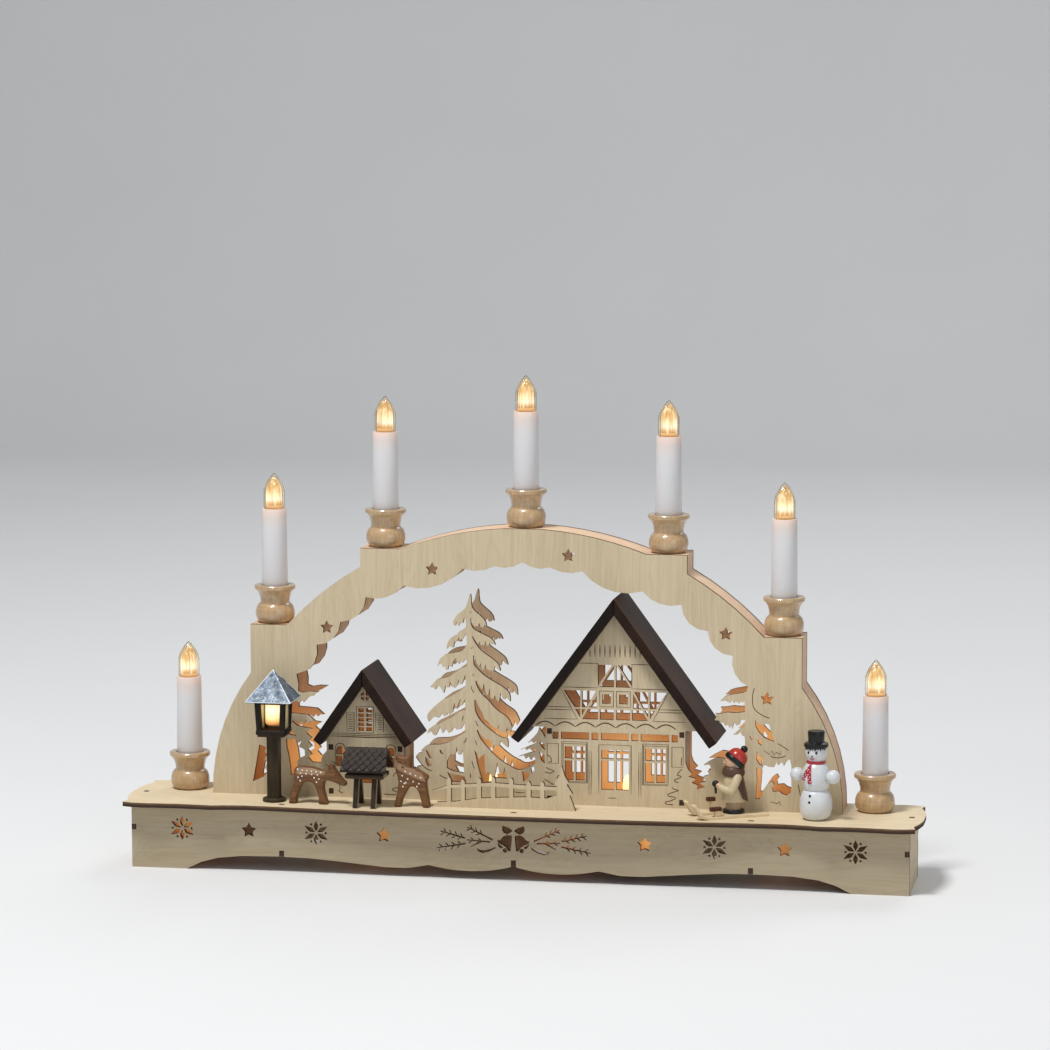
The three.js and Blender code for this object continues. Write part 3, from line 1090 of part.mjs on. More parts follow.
// Turned man with a cap and a cape, both arms held forward to a dark knob.
function manFigure() {
  const z = BOARD_TOP;
  const body = turned([[0, z], [7, z], [7, z + 2.3], [4.4, z + 2.7], [4.4, z + 7], [8.2, z + 7.5],
    [7.4, z + 14.6], [6, z + 23], [3.5, z + 27.7], [3.5, z + 28.6], [0, z + 28.6]], 12);
  const head = ball(0, 0, z + 32.4, 5.8);
  const cap = ball(0, 0, z + 36.8, 6.7, 10, 6);
  const pompom = ball(3.7, 0, z + 43.8, 2.5, 6, 4);
  const arms = [-1, 1].flatMap((s) => [
    rod(2.3, [0.5, s * 6.8, z + 21.4], [-4.4, s * 7.4, z + 13.8], 6),
    rod(2, [-3.6, s * 7.6, z + 13.4], [-11, s * 1, z + 17.6], 6),
  ]);
  const knob = ball(-11.4, 0, z + 18, 2.7, 6, 4);
  return joined([body, head, cap, pompom, ...arms, knob]).rotate([0, 0,
    SLEDGE_TURN - 10]).translate([MAN.x, MAN.y, 0]);
}

// Snowman: two round bodies, a head, a top hat and two ball hands.
function snowmanFigure() {
  const z = DRAWN_DECK;
  const body = turned([[0, z], [6.6, z], [9.4, z + 3], [10.4, z + 9], [9.6, z + 15], [7, z + 18.6],
    [8.2, z + 21], [8.9, z + 27.4], [7.6, z + 33], [5, z + 36.6], [6.4, z + 40], [6.5, z + 44],
    [5.6, z + 46.6],
    [7.4, z + 47], [7.4, z + 48.2], [5, z + 48.6], [5.2, z + 56.6], [0, z + 56.6]], 12);
  const hands = [-1, 1].flatMap((s) => [ball(s * 12.2, -1.5, z + 28.2, 4.5),
    rod(2, [s * 6, 0, z + 28.2], [s * 12.2, -1.5, z + 28.2], 6)]);
  return joined([body, ...hands]).translate([SNOWMAN.x, SNOWMAN.y, 0]);
}

// Small warm lamp on a round holder, standing between the sheets.
function interiorLamp(x) {
  const z = DRAWN_DECK;
  return turned([[0, z], [4.6, z], [4.6, z + 5], [2.6, z + 6], [3.1, z + 11], [2.4, z + 15.4],
    [0.8, z + 18], [0, z + 18]], 10).translate([x, CANDLE_Y, 0]);
}
const INTERIOR_LAMPS = { left: -141, middle: -22, house: 66 };

// Battery box under the plate: three cells side by side, a cover that slides out to the right.
const BOX_IN_TOP = PLATE_UNDER - BOX_WALL;
const CELL_Z = BOX_IN_TOP - SEAT_GAP - CELL_R;
const COVER_TOP = CELL_Z - CELL_R - 0.4;
const COVER_FOOT = COVER_TOP - COVER_THICKNESS;
const BOX_HALF_LENGTH = CELL_LENGTH / 2 + 3;
const BOX_HALF_WIDTH = CELL_PITCH + CELL_R + 0.4;

function batteryBox() {
  const [hx, hy, w] = [BOX_HALF_LENGTH, BOX_HALF_WIDTH, BOX_WALL];
  const lip = 1.6;
  const outer = box(BOX_X - hx - w, BOX_X + hx + w, BOX_Y - hy - w, BOX_Y + hy + w,
    COVER_FOOT - RUNNING_GAP - lip, PLATE_UNDER);
  const cavity = box(BOX_X - hx, BOX_X + hx, BOX_Y - hy, BOX_Y + hy, 0, BOX_IN_TOP);
  const grooveY = hy + w / 2;
  const groove = box(BOX_X - hx, BOX_X + hx + w + 1, BOX_Y - grooveY, BOX_Y + grooveY,
    COVER_FOOT - RUNNING_GAP, COVER_TOP + RUNNING_GAP);
  const mouth = box(BOX_X + hx - 1, BOX_X + hx + w + 1, BOX_Y - hy, BOX_Y + hy, 0,
    COVER_TOP + RUNNING_GAP);
  return cutBy(outer, [cavity, groove, mouth]);
}

function batteryCover() {
  const hy = BOX_HALF_WIDTH + BOX_WALL / 2 - RUNNING_GAP;
  const [x0, x1] = [BOX_X - BOX_HALF_LENGTH + RUNNING_GAP, BOX_X + BOX_HALF_LENGTH + BOX_WALL];
  const board = box(x0, x1, BOX_Y - hy, BOX_Y + hy, COVER_FOOT, COVER_TOP);
  const grips = [0, 1, 2].map((i) => box(x1 - 9 + i * 3, x1 - 7.8 + i * 3, BOX_Y - 9, BOX_Y + 9,
    COVER_FOOT - 0.8, COVER_FOOT + 0.2));
  return joined([board, ...grips]);
}

// Three cells in series with the contact plates that join their ends.
function batteryPack() {
  const [x0, x1] = [BOX_X - CELL_LENGTH / 2, BOX_X + CELL_LENGTH / 2];
  const rows = [-1, 0, 1].map((i) => BOX_Y + i * CELL_PITCH);
  const cells = rows.map((y) => rod(CELL_R, [x0, y, CELL_Z], [x1, y, CELL_Z], 14));
  const plateHalf = 4;
  const contact = (x, ya, yb) => box(x - 0.5, x + 0.5, ya - 3, yb + 3, CELL_Z - plateHalf,
    CELL_Z + plateHalf);
  return joined([...cells, contact(x0, rows[0], rows[1]), contact(x1, rows[1], rows[2])]);
}

// Slide switch: a cap outside the back panel, a stem in its slot and a flange behind.
const SWITCH_Z = 27;
const SWITCH_STEM = { halfX: 2, halfZ: 1.4 };
function switchSlot() {
  const { halfX, halfZ } = SWITCH_STEM;
  return rectangle(SWITCH_X - halfX - RUNNING_GAP, SWITCH_X + halfX + SWITCH_TRAVEL + RUNNING_GAP,
    SWITCH_Z - halfZ - RUNNING_GAP, SWITCH_Z + halfZ + RUNNING_GAP);
}
function switchKnob() {
  const { halfX, halfZ } = SWITCH_STEM;
  const stem = box(SWITCH_X - halfX, SWITCH_X + halfX, PANEL_BACK_Y - PLY - 1.4, PANEL_BACK_Y + 2,
    SWITCH_Z - halfZ, SWITCH_Z + halfZ);
  const cap = box(SWITCH_X - 3.4, SWITCH_X + 3.4, PANEL_BACK_Y + RUNNING_GAP, PANEL_BACK_Y + 2.6,
    SWITCH_Z - 3, SWITCH_Z + 3);
  const flange = box(SWITCH_X - 3.4, SWITCH_X + 3.4, PANEL_BACK_Y - PLY - 1.6,
    PANEL_BACK_Y - PLY - RUNNING_GAP, SWITCH_Z - 3, SWITCH_Z + 3);
  return joined([stem, cap, flange]);
}

// Wiring: one run under the plate and up inside the arch, with a lead up into each cup and one
// to the battery box.
function wiringHarness() {
  const inside = 7;
  const half = [
    [OUTER_CANDLE_X, BASE_HEIGHT + CUP_FLOOR_Z - 1.5],
    [OUTER_CANDLE_X, WIRE_RUN_Z + 4],
    [OUTER_CANDLE_X - 4, WIRE_RUN_Z],
    [WIRE_RISE_X + 4, WIRE_RUN_Z],
    [WIRE_RISE_X, WIRE_RUN_Z + 4],
    [WIRE_RISE_X, BASE_HEIGHT + 8],
    ...[
      [ARCH_FOOT_X - 20, 94],
      [LOWER_STEP_OUTER_X - inside, 122],
      [LOWER_CANDLE_X + 2, LOWER_STEP_Z - inside - 3],
      [LOWER_CANDLE_X - 13, LOWER_STEP_Z - inside],
      [UPPER_STEP_OUTER_X + 24, UPPER_STEP_Z - 36.7],
      [UPPER_STEP_OUTER_X, UPPER_STEP_Z - 20.2],
      [UPPER_CANDLE_X, UPPER_STEP_Z - inside - 4],
      [UPPER_CANDLE_X - 30, CROWN_Z - 16.3],
      [30, CROWN_Z - inside - 3],
    ].map(([x, z]) => [x, z + DECK_LIFT]),
  ];
  const [r, y0, y1] = [WIRE_R, CANDLE_Y - WIRE_R, CANDLE_Y + WIRE_R];
  const run = band([...half, [0, CROWN_Z + DECK_LIFT - inside], ...mirrored(half)], r, r, y0, y1);
  const risers = CANDLES.slice(1, -1).map(([x, z]) =>
    box(x - r, x + r, y0, y1, z + DECK_LIFT - inside - 4, z + DECK_LIFT + CUP_FLOOR_Z - 1.5),
  );
  const boxSide = BOX_X + BOX_HALF_LENGTH + BOX_WALL + 0.3;
  const lead = box(boxSide, WIRE_RISE_X + 4, y0, y1, WIRE_RUN_Z - r, WIRE_RUN_Z + r);
  return joined([run, ...risers, lead]);
}

const village = new THREE.Group();

function add(name, body, material, x = 0, y = 0, z = 0) {
  const mesh = new THREE.Mesh(geometryOf(body), material);
  mesh.name = name;
  mesh.position.set(x, y, z);
  village.add(mesh);
}

// Adds a piece that is drawn for the drawn deck.
const addOnDeck = (name, body, material, x = 0, y = 0, z = 0) =>
  add(name, body, material, x, y, z + DECK_LIFT);

add("base_front_panel", longPanel(PANEL_FRONT_Y, baseOrnaments()), plywood);
add("base_back_panel", longPanel(PANEL_BACK_Y - PLY, [switchSlot()]), plywood);
add("base_end_left", endPanel(-1), plywood);
add("base_end_right", endPanel(1), plywood);
add("top_plate", topPlate(), plywood);
["left", "middle", "right"].forEach((place, i) => add("rib_" + place, rib(RIB_X[i]), plywood));

addOnDeck("arch_front_sheet", archSheet(ARCH_FRONT_Y), plywood);
addOnDeck("arch_back_sheet", archSheet(GAP_BACK_Y), plywood);
addOnDeck("cover_strip_crown", crownStrip(), plywood);
addOnDeck("cover_strip_left", sideStrip(-1), plywood);
addOnDeck("cover_strip_right", sideStrip(1), plywood);

const [cup, sleeve, bulb] = [candleCup(), candleSleeve(), candleBulb()];
CANDLES.forEach(([x, z], i) => {
  addOnDeck("candle_cup_" + (i + 1), cup, turnedWood, x, CANDLE_Y, z);
  addOnDeck("candle_sleeve_" + (i + 1), sleeve, whitePlastic, x, CANDLE_Y, z);
  addOnDeck("candle_bulb_" + (i + 1), bulb, clearBulb, x, CANDLE_Y, z);
});

[["large", LARGE_HOUSE], ["small", SMALL_HOUSE]].forEach(([size, house]) => {
  [["left", -1], ["right", 1]].forEach(([place, sign]) => {
    addOnDeck(size + "_roof_" + place, roofBoard(house, sign), darkRoof);
    addOnDeck(size + "_wall_" + place, houseWall(house, sign), plywood);
  });
});

addOnDeck("picket_fence", picketFence(), plywood);
addOnDeck("lamp_post", lampPost(), darkPost);
addOnDeck("lamp_screen", lampScreen(), warmScreen);
addOnDeck("lamp_roof", lampRoof(), silverFoil);
addOnDeck("fawn_grazing", fawnGrazing(), fawnBrown);
addOnDeck("fawn_alert", fawnAlert(), fawnBrown);
addOnDeck("feeding_rack", feedingRack(), darkRoof);
addOnDeck("sledge", sledge(), plywood);
addOnDeck("man_figure", manFigure(), coatPaint);
addOnDeck("snowman", snowmanFigure(), whitePaint);
Object.entries(INTERIOR_LAMPS).forEach(([place, x]) =>
  addOnDeck("interior_lamp_" + place, interiorLamp(x), warmScreen),
);

add("battery_box", batteryBox(), darkPlastic);
add("battery_cover", batteryCover(), darkPlastic);
add("battery_pack", batteryPack(), cellSleeve);
add("switch_knob", switchKnob(), darkPlastic);
add("wiring_harness", wiringHarness(), wireDark);

export default village;
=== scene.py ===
import math

import bmesh
import bpy
import numpy as np
from mathutils import Matrix, Vector
from mathutils.geometry import tessellate_polygon


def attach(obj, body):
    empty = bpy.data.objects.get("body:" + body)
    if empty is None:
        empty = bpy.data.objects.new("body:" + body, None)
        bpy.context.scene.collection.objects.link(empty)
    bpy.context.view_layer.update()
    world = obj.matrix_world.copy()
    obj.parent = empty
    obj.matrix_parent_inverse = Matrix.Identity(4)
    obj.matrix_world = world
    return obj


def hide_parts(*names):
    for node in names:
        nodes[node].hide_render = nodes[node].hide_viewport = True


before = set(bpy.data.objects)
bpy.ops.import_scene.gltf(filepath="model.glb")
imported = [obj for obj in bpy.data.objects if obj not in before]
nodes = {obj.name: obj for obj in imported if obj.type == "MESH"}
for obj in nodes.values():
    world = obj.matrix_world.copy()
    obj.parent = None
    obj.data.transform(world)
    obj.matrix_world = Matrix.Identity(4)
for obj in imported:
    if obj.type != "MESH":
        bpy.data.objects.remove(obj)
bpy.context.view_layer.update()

# Places in millimetres, as in the part's source; a plywood board's place is its lower face on that axis
MM = 0.001
DECK = 44.2
PLY = 3.0
FRONT_SHEET_Y = 2.7
FRONT_SHEET_BACK_Y = FRONT_SHEET_Y + PLY
BACK_SHEET_Y = 28.0
BASE_FRONT_Y = -30.0
BASE_BACK_Y = 27.0
END_LEFT_X = -252.5
END_RIGHT_X = 249.5
FENCE_Y = -18.5
BOX_FRONT_Y = -24
SCREEN_FOOT, SCREEN_TOP = 94.6, 109.5
INNER_LAMP_FOOT, INNER_LAMP_TOP = 46, 62
RACK_SIDES_TOP = 65.2
CANDLE_Y = 16.85
CANDLES = [
    (-225.9, 44.2), (-167, 156.3), (-92.6, 207.7), (0, 222.3), (92.6, 207.7), (167, 156.3), (225.9, 44.2),
]
SLEEVE_TOP = 74.6
BULB_SEAT = 74.85
LARGE_HOUSE = {"x": 60.5, "ridge": 180, "slope": 53.9, "run": 113}
SMALL_HOUSE = {"x": -104, "ridge": 130, "slope": 55.2, "run": 57.5}
ROOF_BOARD = 6
ROOF_FRONT_Y = -6.5
ROOF_BACK_Y = 41.5
LAMP_X, LAMP_Y = -160, -17.5
RACK_X, RACK_Y = -97.2, -23
MAN_X, MAN_Y = 139, -13
SNOWMAN_X, SNOWMAN_Y = 191.8, -16
SLEDGE_TURN = 29
BOARD_TOP = 46.1
SNOWMAN = {"turn_degrees": -16, "x": SNOWMAN_X, "y": SNOWMAN_Y, "z": DECK}
MAN = {"turn_degrees": SLEDGE_TURN - 10, "x": MAN_X, "y": MAN_Y, "z": BOARD_TOP}


# Shader values

class Value:
    """A number or colour that varies over a surface; arithmetic on numbers adds Math nodes."""

    def __init__(self, finish, socket):
        self.finish = finish
        self.socket = socket

    def __add__(self, other):
        return self.finish.math("ADD", self, other)

    __radd__ = __add__

    def __mul__(self, other):
        return self.finish.math("MULTIPLY", self, other)

    __rmul__ = __mul__

    def __sub__(self, other):
        return self.finish.math("SUBTRACT", self, other)

    def __rsub__(self, other):
        return self.finish.math("SUBTRACT", other, self)

    def __truediv__(self, other):
        return self.finish.math("DIVIDE", self, other)

    def __pow__(self, other):
        return self.finish.math("POWER", self, other)

    def __neg__(self):
        return self * -1

    def __abs__(self):
        return self.finish.math("ABSOLUTE", self)

    def above(self, edge, soft=0.0):
        """0 below the edge and 1 above it, with a smooth step of the given half width."""
        if not soft:
            return self.finish.math("GREATER_THAN", self, edge)
        limits = {0: self, 1: edge - soft, 2: edge + soft}
        return self.finish.add("ShaderNodeMapRange", {"interpolation_type": "SMOOTHSTEP"}, limits)["Result"]

    def between(self, low, high, soft=0.0):
        """1 from low to high and 0 outside, with the same soft steps."""
        return self.above(low, soft) * (1 - self.above(high, soft))


class Outputs:
    """The outputs of one node, by name or number."""

    def __init__(self, finish, node):
        self.finish = finish
        self.node = node

    def __getitem__(self, key):
        return Value(self.finish, self.node.outputs[key])


class Finish:
    """A material round one Principled shader, with constants set on its own sockets."""

    def __init__(self, name, lean=0.0, **constants):
        self.material = bpy.data.materials.new(name)
        self.material.use_nodes = True
        self.tree = self.material.node_tree
        self.shader = self.tree.nodes["Principled BSDF"]
        for key, constant in constants.items():
            self.shader.inputs[key.replace("_", " ")].default_value = constant
        self.coordinates = self.add("ShaderNodeTexCoord")
        self.place = self.coordinates["Object"]
        axes = self.add("ShaderNodeSeparateXYZ", {}, {0: self.place})
        self.x, self.y, self.z = (axes[i] * 1000 for i in range(3))
        facing = self.add("ShaderNodeSeparateXYZ", {}, {0: self.coordinates["Normal"]})
        self.facing = {"X": facing[0], "Y": facing[1], "Z": facing[2]}
        self.grain_place = self.place
        if lean:
            about_y = {"Vector": self.place, "Angle": math.radians(lean)}
            turn = self.add("ShaderNodeVectorRotate", {"rotation_type": "Y_AXIS"}, about_y)
            self.grain_place = turn["Vector"]

    def add(self, kind, settings=None, inputs=None):
        """One node of any kind: its settings first, then values or links for its sockets."""
        node = self.tree.nodes.new(kind)
        for key, setting in (settings or {}).items():
            if key == "stops":
                self.set_stops(node.color_ramp.elements, setting)
            else:
                setattr(node, key, setting)
        for key, given in (inputs or {}).items():
            self.feed(node.inputs[key], given)
        return Outputs(self, node)

    def set_stops(self, elements, stops):
        """Gives a ramp its (position, colour) stops."""
        while len(elements) < len(stops):
            elements.new(1)
        for element, (position, colour) in zip(elements, stops):
            element.position = position
            element.color = colour

    def feed(self, socket, given):
        """Links a value to a socket, or sets a constant on it."""
        if isinstance(given, Value):
            self.tree.links.new(given.socket, socket)
        else:
            socket.default_value = given

    def math(self, operation, *terms):
        """The result of one Math node on the terms."""
        return self.add("ShaderNodeMath", {"operation": operation}, dict(enumerate(terms)))["Value"]

    def mix(self, share, first, second):
        """Colour between the first, at share 0, and the second, at share 1."""
        return self.add("ShaderNodeMix", {"data_type": "RGBA"}, {0: share, 6: first, 7: second})[2]

    def blend(self, share, stops):
        """Colour from a ramp of (position, colour) stops."""
        return self.add("ShaderNodeValToRGB", {"stops": stops}, {0: share})["Color"]

    def noise(self, waves, detail=3, rough=0.5, distortion=0):
        """Noise about 0.5, with the given waves per millimetre along X, Y and Z."""
        stretch = {"Vector": self.grain_place, "Scale": [1000 * wave for wave in waves]}
        stretched = self.add("ShaderNodeMapping", {}, stretch)["Vector"]
        inputs = {"Vector": stretched, "Scale": 1, "Detail": detail, "Roughness": rough}
        return self.add("ShaderNodeTexNoise", {}, {**inputs, "Distortion": distortion})["Fac"]

    def near(self, x, y, z, reach):
        """1 at a point in millimetres, falling off as a bell over the reach."""
        point = (x * MM, y * MM, z * MM)
        away = self.add("ShaderNodeVectorMath", {"operation": "DISTANCE"}, {0: self.place, 1: point})
        return self.math("EXPONENT", -((away["Value"] * (1000 / reach)) ** 2))

    def surface(self, colour=None, roughness=None, bump=None, depth=0.1, glow=None, strength=1.0):
        """Links what varies: colour, roughness, height of the bump with its depth in mm, glow."""
        if colour is not None:
            self.feed(self.shader.inputs["Base Color"], colour)
        if roughness is not None:
            self.feed(self.shader.inputs["Roughness"], roughness)
        if bump is not None:
            height = {"Height": bump, "Distance": depth * MM, "Strength": 1}
            relief = self.add("ShaderNodeBump", {}, height)
            self.feed(self.shader.inputs["Normal"], relief["Normal"])
        if glow is not None:
            self.feed(self.shader.inputs["Emission Color"], glow)
            self.shader.inputs["Emission Strength"].default_value = strength
        return self.material


def screen(red, green, blue):
    """The linear colour of an 8-bit screen colour."""
    parts = np.array([red, green, blue]) / 255
    linear = np.where(parts <= 0.04045, parts / 12.92, ((parts + 0.055) / 1.055) ** 2.4)
    return (*linear.tolist(), 1.0)


def scaled(colour, share):
    """The colour with each part times the share."""
    return tuple(share * part for part in colour[:3]) + (1.0,)


BLACK = (0, 0, 0, 1)
BIRCH_PALE = screen(207, 191, 161)
BIRCH_DEEP = screen(187, 169, 137)
BIRCH_FLECK = screen(156, 134, 100)
BURNT = screen(52, 33, 21)
BURNT_WARM = screen(96, 62, 36)

# Painted light of the lamps inside the arch: x, z, reach and strength of each painted bright place on the
# inner faces
ARCH_PAINTED_LIGHT = [(-141, 70, 34, 0.7), (-14, 80, 20, 0.95), (62, 66, 36, 0.75), (152, 84, 46, 0.7)]
# Painted light of the lamps inside the base, where the front panel's openings show the back panel and the
# battery box
BASE_PAINTED_LIGHT = [(-233, 17, 15, 0.75), (-97, 17, 13, 0.8), (18, 17, 17, 0.6), (166, 17, 13, 0.8)]
# Painted lamp light on the battery box's front, and the strength of the painted lamp light on the sheets
BOX_PAINTED_LIGHT = (86, 27, 13, 0.85)
SHEET_PAINTED_LIGHT_STRENGTH = 0.55
# A lower face so far off that every sawn edge has the tone of the upper ply
ONE_TONE = -1000


# Finishes

def painted_lamp_light(finish, centres, y, level):
    """Painted lamp light on a face that the lamps inside would light: a low painted level all over and a
    bell round each place.
    """
    amount = level
    for x, z, reach, strength in centres:
        amount = finish.near(x, y, z, reach) * strength + amount
    stops = [
        (0, BLACK), (0.25, screen(92, 48, 20)), (0.6, screen(166, 94, 42)), (1, screen(238, 170, 96)),
    ]
    return finish.blend(amount, stops)


def wood_tone(finish, grain):
    """Fibre noise along the grain, and the tone of the figure and growth rings with it."""
    fine = {"X": (0.02, 0.5, 0.5), "Y": (0.5, 0.02, 0.5), "Z": (0.5, 0.5, 0.02)}[grain]
    broad = {"X": (0.006, 0.05, 0.05), "Y": (0.05, 0.006, 0.05), "Z": (0.05, 0.05, 0.006)}[grain]
    fibre = finish.noise(fine, 4, 0.6)
    figure = finish.noise(broad, 3, 0.55, 1.2)
    rings = abs(finish.math("SINE", figure * 46)) ** 0.6
    fleck = finish.noise(tuple(4 * wave for wave in fine), 2, 0.5).above(0.68, 0.04)
    return fibre, fibre * 0.5 + figure * 0.35 + rings * 0.15, fleck


def sanded(finish, grain, pale, deep, fleck_colour):
    """Colour of a sanded face, pale and deep by the figure with a few flecks, and its fibre noise."""
    fibre, tone, fleck = wood_tone(finish, grain)
    colour = finish.mix(tone.above(0.52, 0.28), deep, pale)
    return finish.mix(fleck * 0.2, colour, fleck_colour), fibre


def birch(name, across, grain="X", lowest=0.0, light=None, bright=1.0, plies=(BURNT, BURNT_WARM, BURNT)):
    """Sanded birch plywood, with faces square to the axis across pale and sawn edges burnt in three
    layers. light is (inner side along Y, places, level, y): the faces that look that way get painted
    lamp light, and the sawn edges a little of it. bright scales the face tones: a painted lit or shaded
    copy."""
    finish = Finish(name, IOR=1.45)
    # bright above 1 paints the faces as lit, below 1 as in shade
    tones = (scaled(tone, bright) for tone in (BIRCH_PALE, BIRCH_DEEP, BIRCH_FLECK))
    face, fibre = sanded(finish, grain, *tones)
    flat = abs(finish.facing[across]).above(0.7)
    level = ({"X": finish.x, "Y": finish.y, "Z": finish.z}[across] - lowest) / PLY
    lower, middle, upper = plies
    stops = [(0, lower), (0.3, lower), (0.38, middle), (0.62, middle), (0.7, upper), (1, upper)]
    char = finish.noise((0.16, 0.16, 0.16), 3, 0.6)
    scorched = finish.mix(char.above(0.5, 0.2) * 0.35, finish.blend(level, stops), scaled(middle, 0.6))
    glow = None
    # painted lamp light: a pool round each lamp place on the inner faces, and a little on the sawn edges
    if light:
        inner_side, places, least, y = light
        lamps = painted_lamp_light(finish, places, y, least)
        faces_in = (finish.facing["Y"] * inner_side).above(0.5)
        glow = finish.mix(faces_in + (1 - flat) * 0.22, BLACK, lamps)
    relief = fibre * flat + char * (1 - flat)
    rough = 0.72 - flat * 0.14 + fibre * 0.08
    colour = finish.mix(flat, scorched, face)
    return finish.surface(colour, rough, relief, 0.05, glow, SHEET_PAINTED_LIGHT_STRENGTH)


def bare_birch(name, pale, deep, grain="X"):
    """Sanded birch that is pale on every face, its edges too."""
    finish = Finish(name, IOR=1.45)
    colour, fibre = sanded(finish, grain, pale, deep, BIRCH_FLECK)
    return finish.surface(colour, 0.62 + fibre * 0.08, fibre, 0.05)


def stained(name, dark, light, grain="X", gloss=0.42, lean=0.0, pale_sides=None, ends=1.0):
    """Stained and waxed wood: light streaks along the grain in a dark ground, worn paler in patches.
    Low faces that look along X can be left pale, and sawn ends that look along Y be darker."""
    finish = Finish(name, lean, Specular_IOR_Level=0.14, Coat_Weight=0.03, Coat_Roughness=0.3)
    fine = {"X": (0.03, 0.9, 0.9), "Y": (0.9, 0.03, 0.9), "Z": (0.9, 0.9, 0.03)}[grain]
    streak = finish.noise(fine, 5, 0.6, 0.4)
    patch = finish.noise((0.05, 0.05, 0.05), 2, 0.5)
    colour = finish.mix((streak * 0.75 + patch * 0.35).above(0.56, 0.2), dark, light)
    if pale_sides:
        side = abs(finish.facing["X"]).above(0.8) * (1 - finish.z.above(RACK_SIDES_TOP))
        colour = finish.mix(side, colour, finish.mix(streak, scaled(pale_sides, 0.75), pale_sides))
    if ends < 1:
        colour = finish.mix(abs(finish.facing["Y"]).above(0.8) * (1 - ends), colour, scaled(dark, 0.5))
    return finish.surface(colour, gloss + streak * 0.2, streak, 0.08)


def varnished(name):
    """Turned beech under clear varnish: fine upright grain, faint turning rings, short brown flecks."""
    finish = Finish(name, IOR=1.5, Coat_Weight=0.85, Coat_Roughness=0.08)
    grain = finish.noise((0.55, 0.55, 0.05), 4, 0.6, 0.6)
    rings = finish.noise((0.02, 0.02, 1.6), 2, 0.5)
    fleck = finish.noise((1.6, 1.6, 0.3), 2, 0.5).above(0.64, 0.05)
    tone = (grain * 0.7 + rings * 0.3).above(0.5, 0.3)
    colour = finish.mix(tone, screen(164, 131, 92), screen(200, 171, 130))
    colour = finish.mix(fleck * 0.25, colour, screen(140, 104, 66))
    return finish.surface(colour, 0.3 + grain * 0.1, grain, 0.04)


def enamel(name, colour, gloss=0.24, coat=0.35):
    """Gloss paint on turned wood: an almost level surface and slightly uneven colour."""
    finish = Finish(name, Specular_IOR_Level=0.4, Coat_Weight=coat, Coat_Roughness=0.1)
    uneven = finish.noise((0.1, 0.1, 0.1), 3, 0.5)
    flow = finish.noise((0.25, 0.25, 0.25), 1, 0.4)
    shade = finish.mix(uneven.above(0.5, 0.25), scaled(colour, 0.92), colour)
    return finish.surface(shade, gloss + uneven * 0.1, flow, 0.02)


def moulded(name, colour, gloss=0.45, light=None):
    """Moulded plastic with a fine spark-eroded grain; faces to the front can get painted lamp light."""
    finish = Finish(name, IOR=1.5)
    grain = finish.noise((3, 3, 3), 2, 0.5)
    cloud = finish.noise((0.08, 0.08, 0.08), 2, 0.5)
    lighter = tuple(1.25 * part + 0.004 for part in colour[:3]) + (1.0,)
    shade = finish.mix(cloud.above(0.5, 0.2), colour, lighter)
    glow = None
    if light:
        # painted lamp light on the faces to the front
        faces_front = (-finish.facing["Y"]).above(0.5)
        glow = finish.mix(faces_front, BLACK, painted_lamp_light(finish, [light], BOX_FRONT_Y, 0.02))
    return finish.surface(shade, gloss + grain * 0.14, grain, 0.03, glow)


def lit(name, stops, z0, z1, strength):
    """A lit body, whose colour follows a ramp with the height."""
    finish = Finish(name, Roughness=0.5)
    ripple = finish.noise((0.3, 0.3, 0.1), 2) * 0.08 - 0.04
    colour = finish.blend((finish.z - z0) / (z1 - z0) + ripple, stops)
    return finish.surface(colour, glow=colour, strength=strength)


def sleeve_plastic(name, top_z):
    """Satin white plastic, with painted bulb light near the top: a warmer colour and a faint painted glow.
    """
    finish = Finish(name, IOR=1.48, Subsurface_Weight=0.12, Subsurface_Scale=0.004)
    lit_reach = 26
    near_top = (finish.z - (top_z - lit_reach)) / lit_reach
    faint = finish.noise((0.2, 0.2, 0.03), 2)
    # painted bulb light: the colour turns warmer near the top
    warm = near_top.above(0.7, 0.34) * 0.5 + faint * 0.06
    colour = finish.mix(warm, screen(214, 214, 216), screen(230, 200, 178))
    # painted glow of the bulb on the rim
    glow = finish.mix(near_top.above(0.9, 0.14) * 0.12, BLACK, screen(255, 180, 130))
    return finish.surface(colour, 0.3 + faint * 0.1, faint, 0.03, glow)


def bulb_glass():
    """Almost clear cap with the faintest warm tint."""
    finish = Finish("bulb_glass", Roughness=0.03, IOR=1.3, Transmission_Weight=1.0)
    haze = finish.noise((0.1, 0.1, 0.1), 2)
    return finish.surface(finish.mix(haze, screen(255, 249, 236), screen(255, 245, 226)))


def bulb_light(name, z0, z1):
    """The lit guide in a bulb: brightest between a quarter and a half of its height, amber above and
    brownish at the foot, with darker and brighter upright streaks."""
    finish = Finish(name, Roughness=0.4)
    stops = [
        (0, screen(150, 116, 80)), (0.14, screen(220, 182, 130)), (0.27, screen(255, 252, 236)),
        (0.42, screen(255, 244, 210)), (0.62, screen(226, 194, 140)), (1, screen(186, 152, 104)),
    ]
    bright = finish.blend((finish.z - z0) / (z1 - z0), stops)
    streak = finish.noise((0.7, 0.7, 0.03), 2, 0.5)
    colour = finish.mix(streak.above(0.56, 0.06) * 0.45, bright, screen(176, 130, 78))
    colour = finish.mix((1 - streak).above(0.58, 0.04) * 0.6, colour, screen(255, 250, 230))
    return finish.surface(finish.mix(0.6, colour, BLACK), glow=colour, strength=1.0)


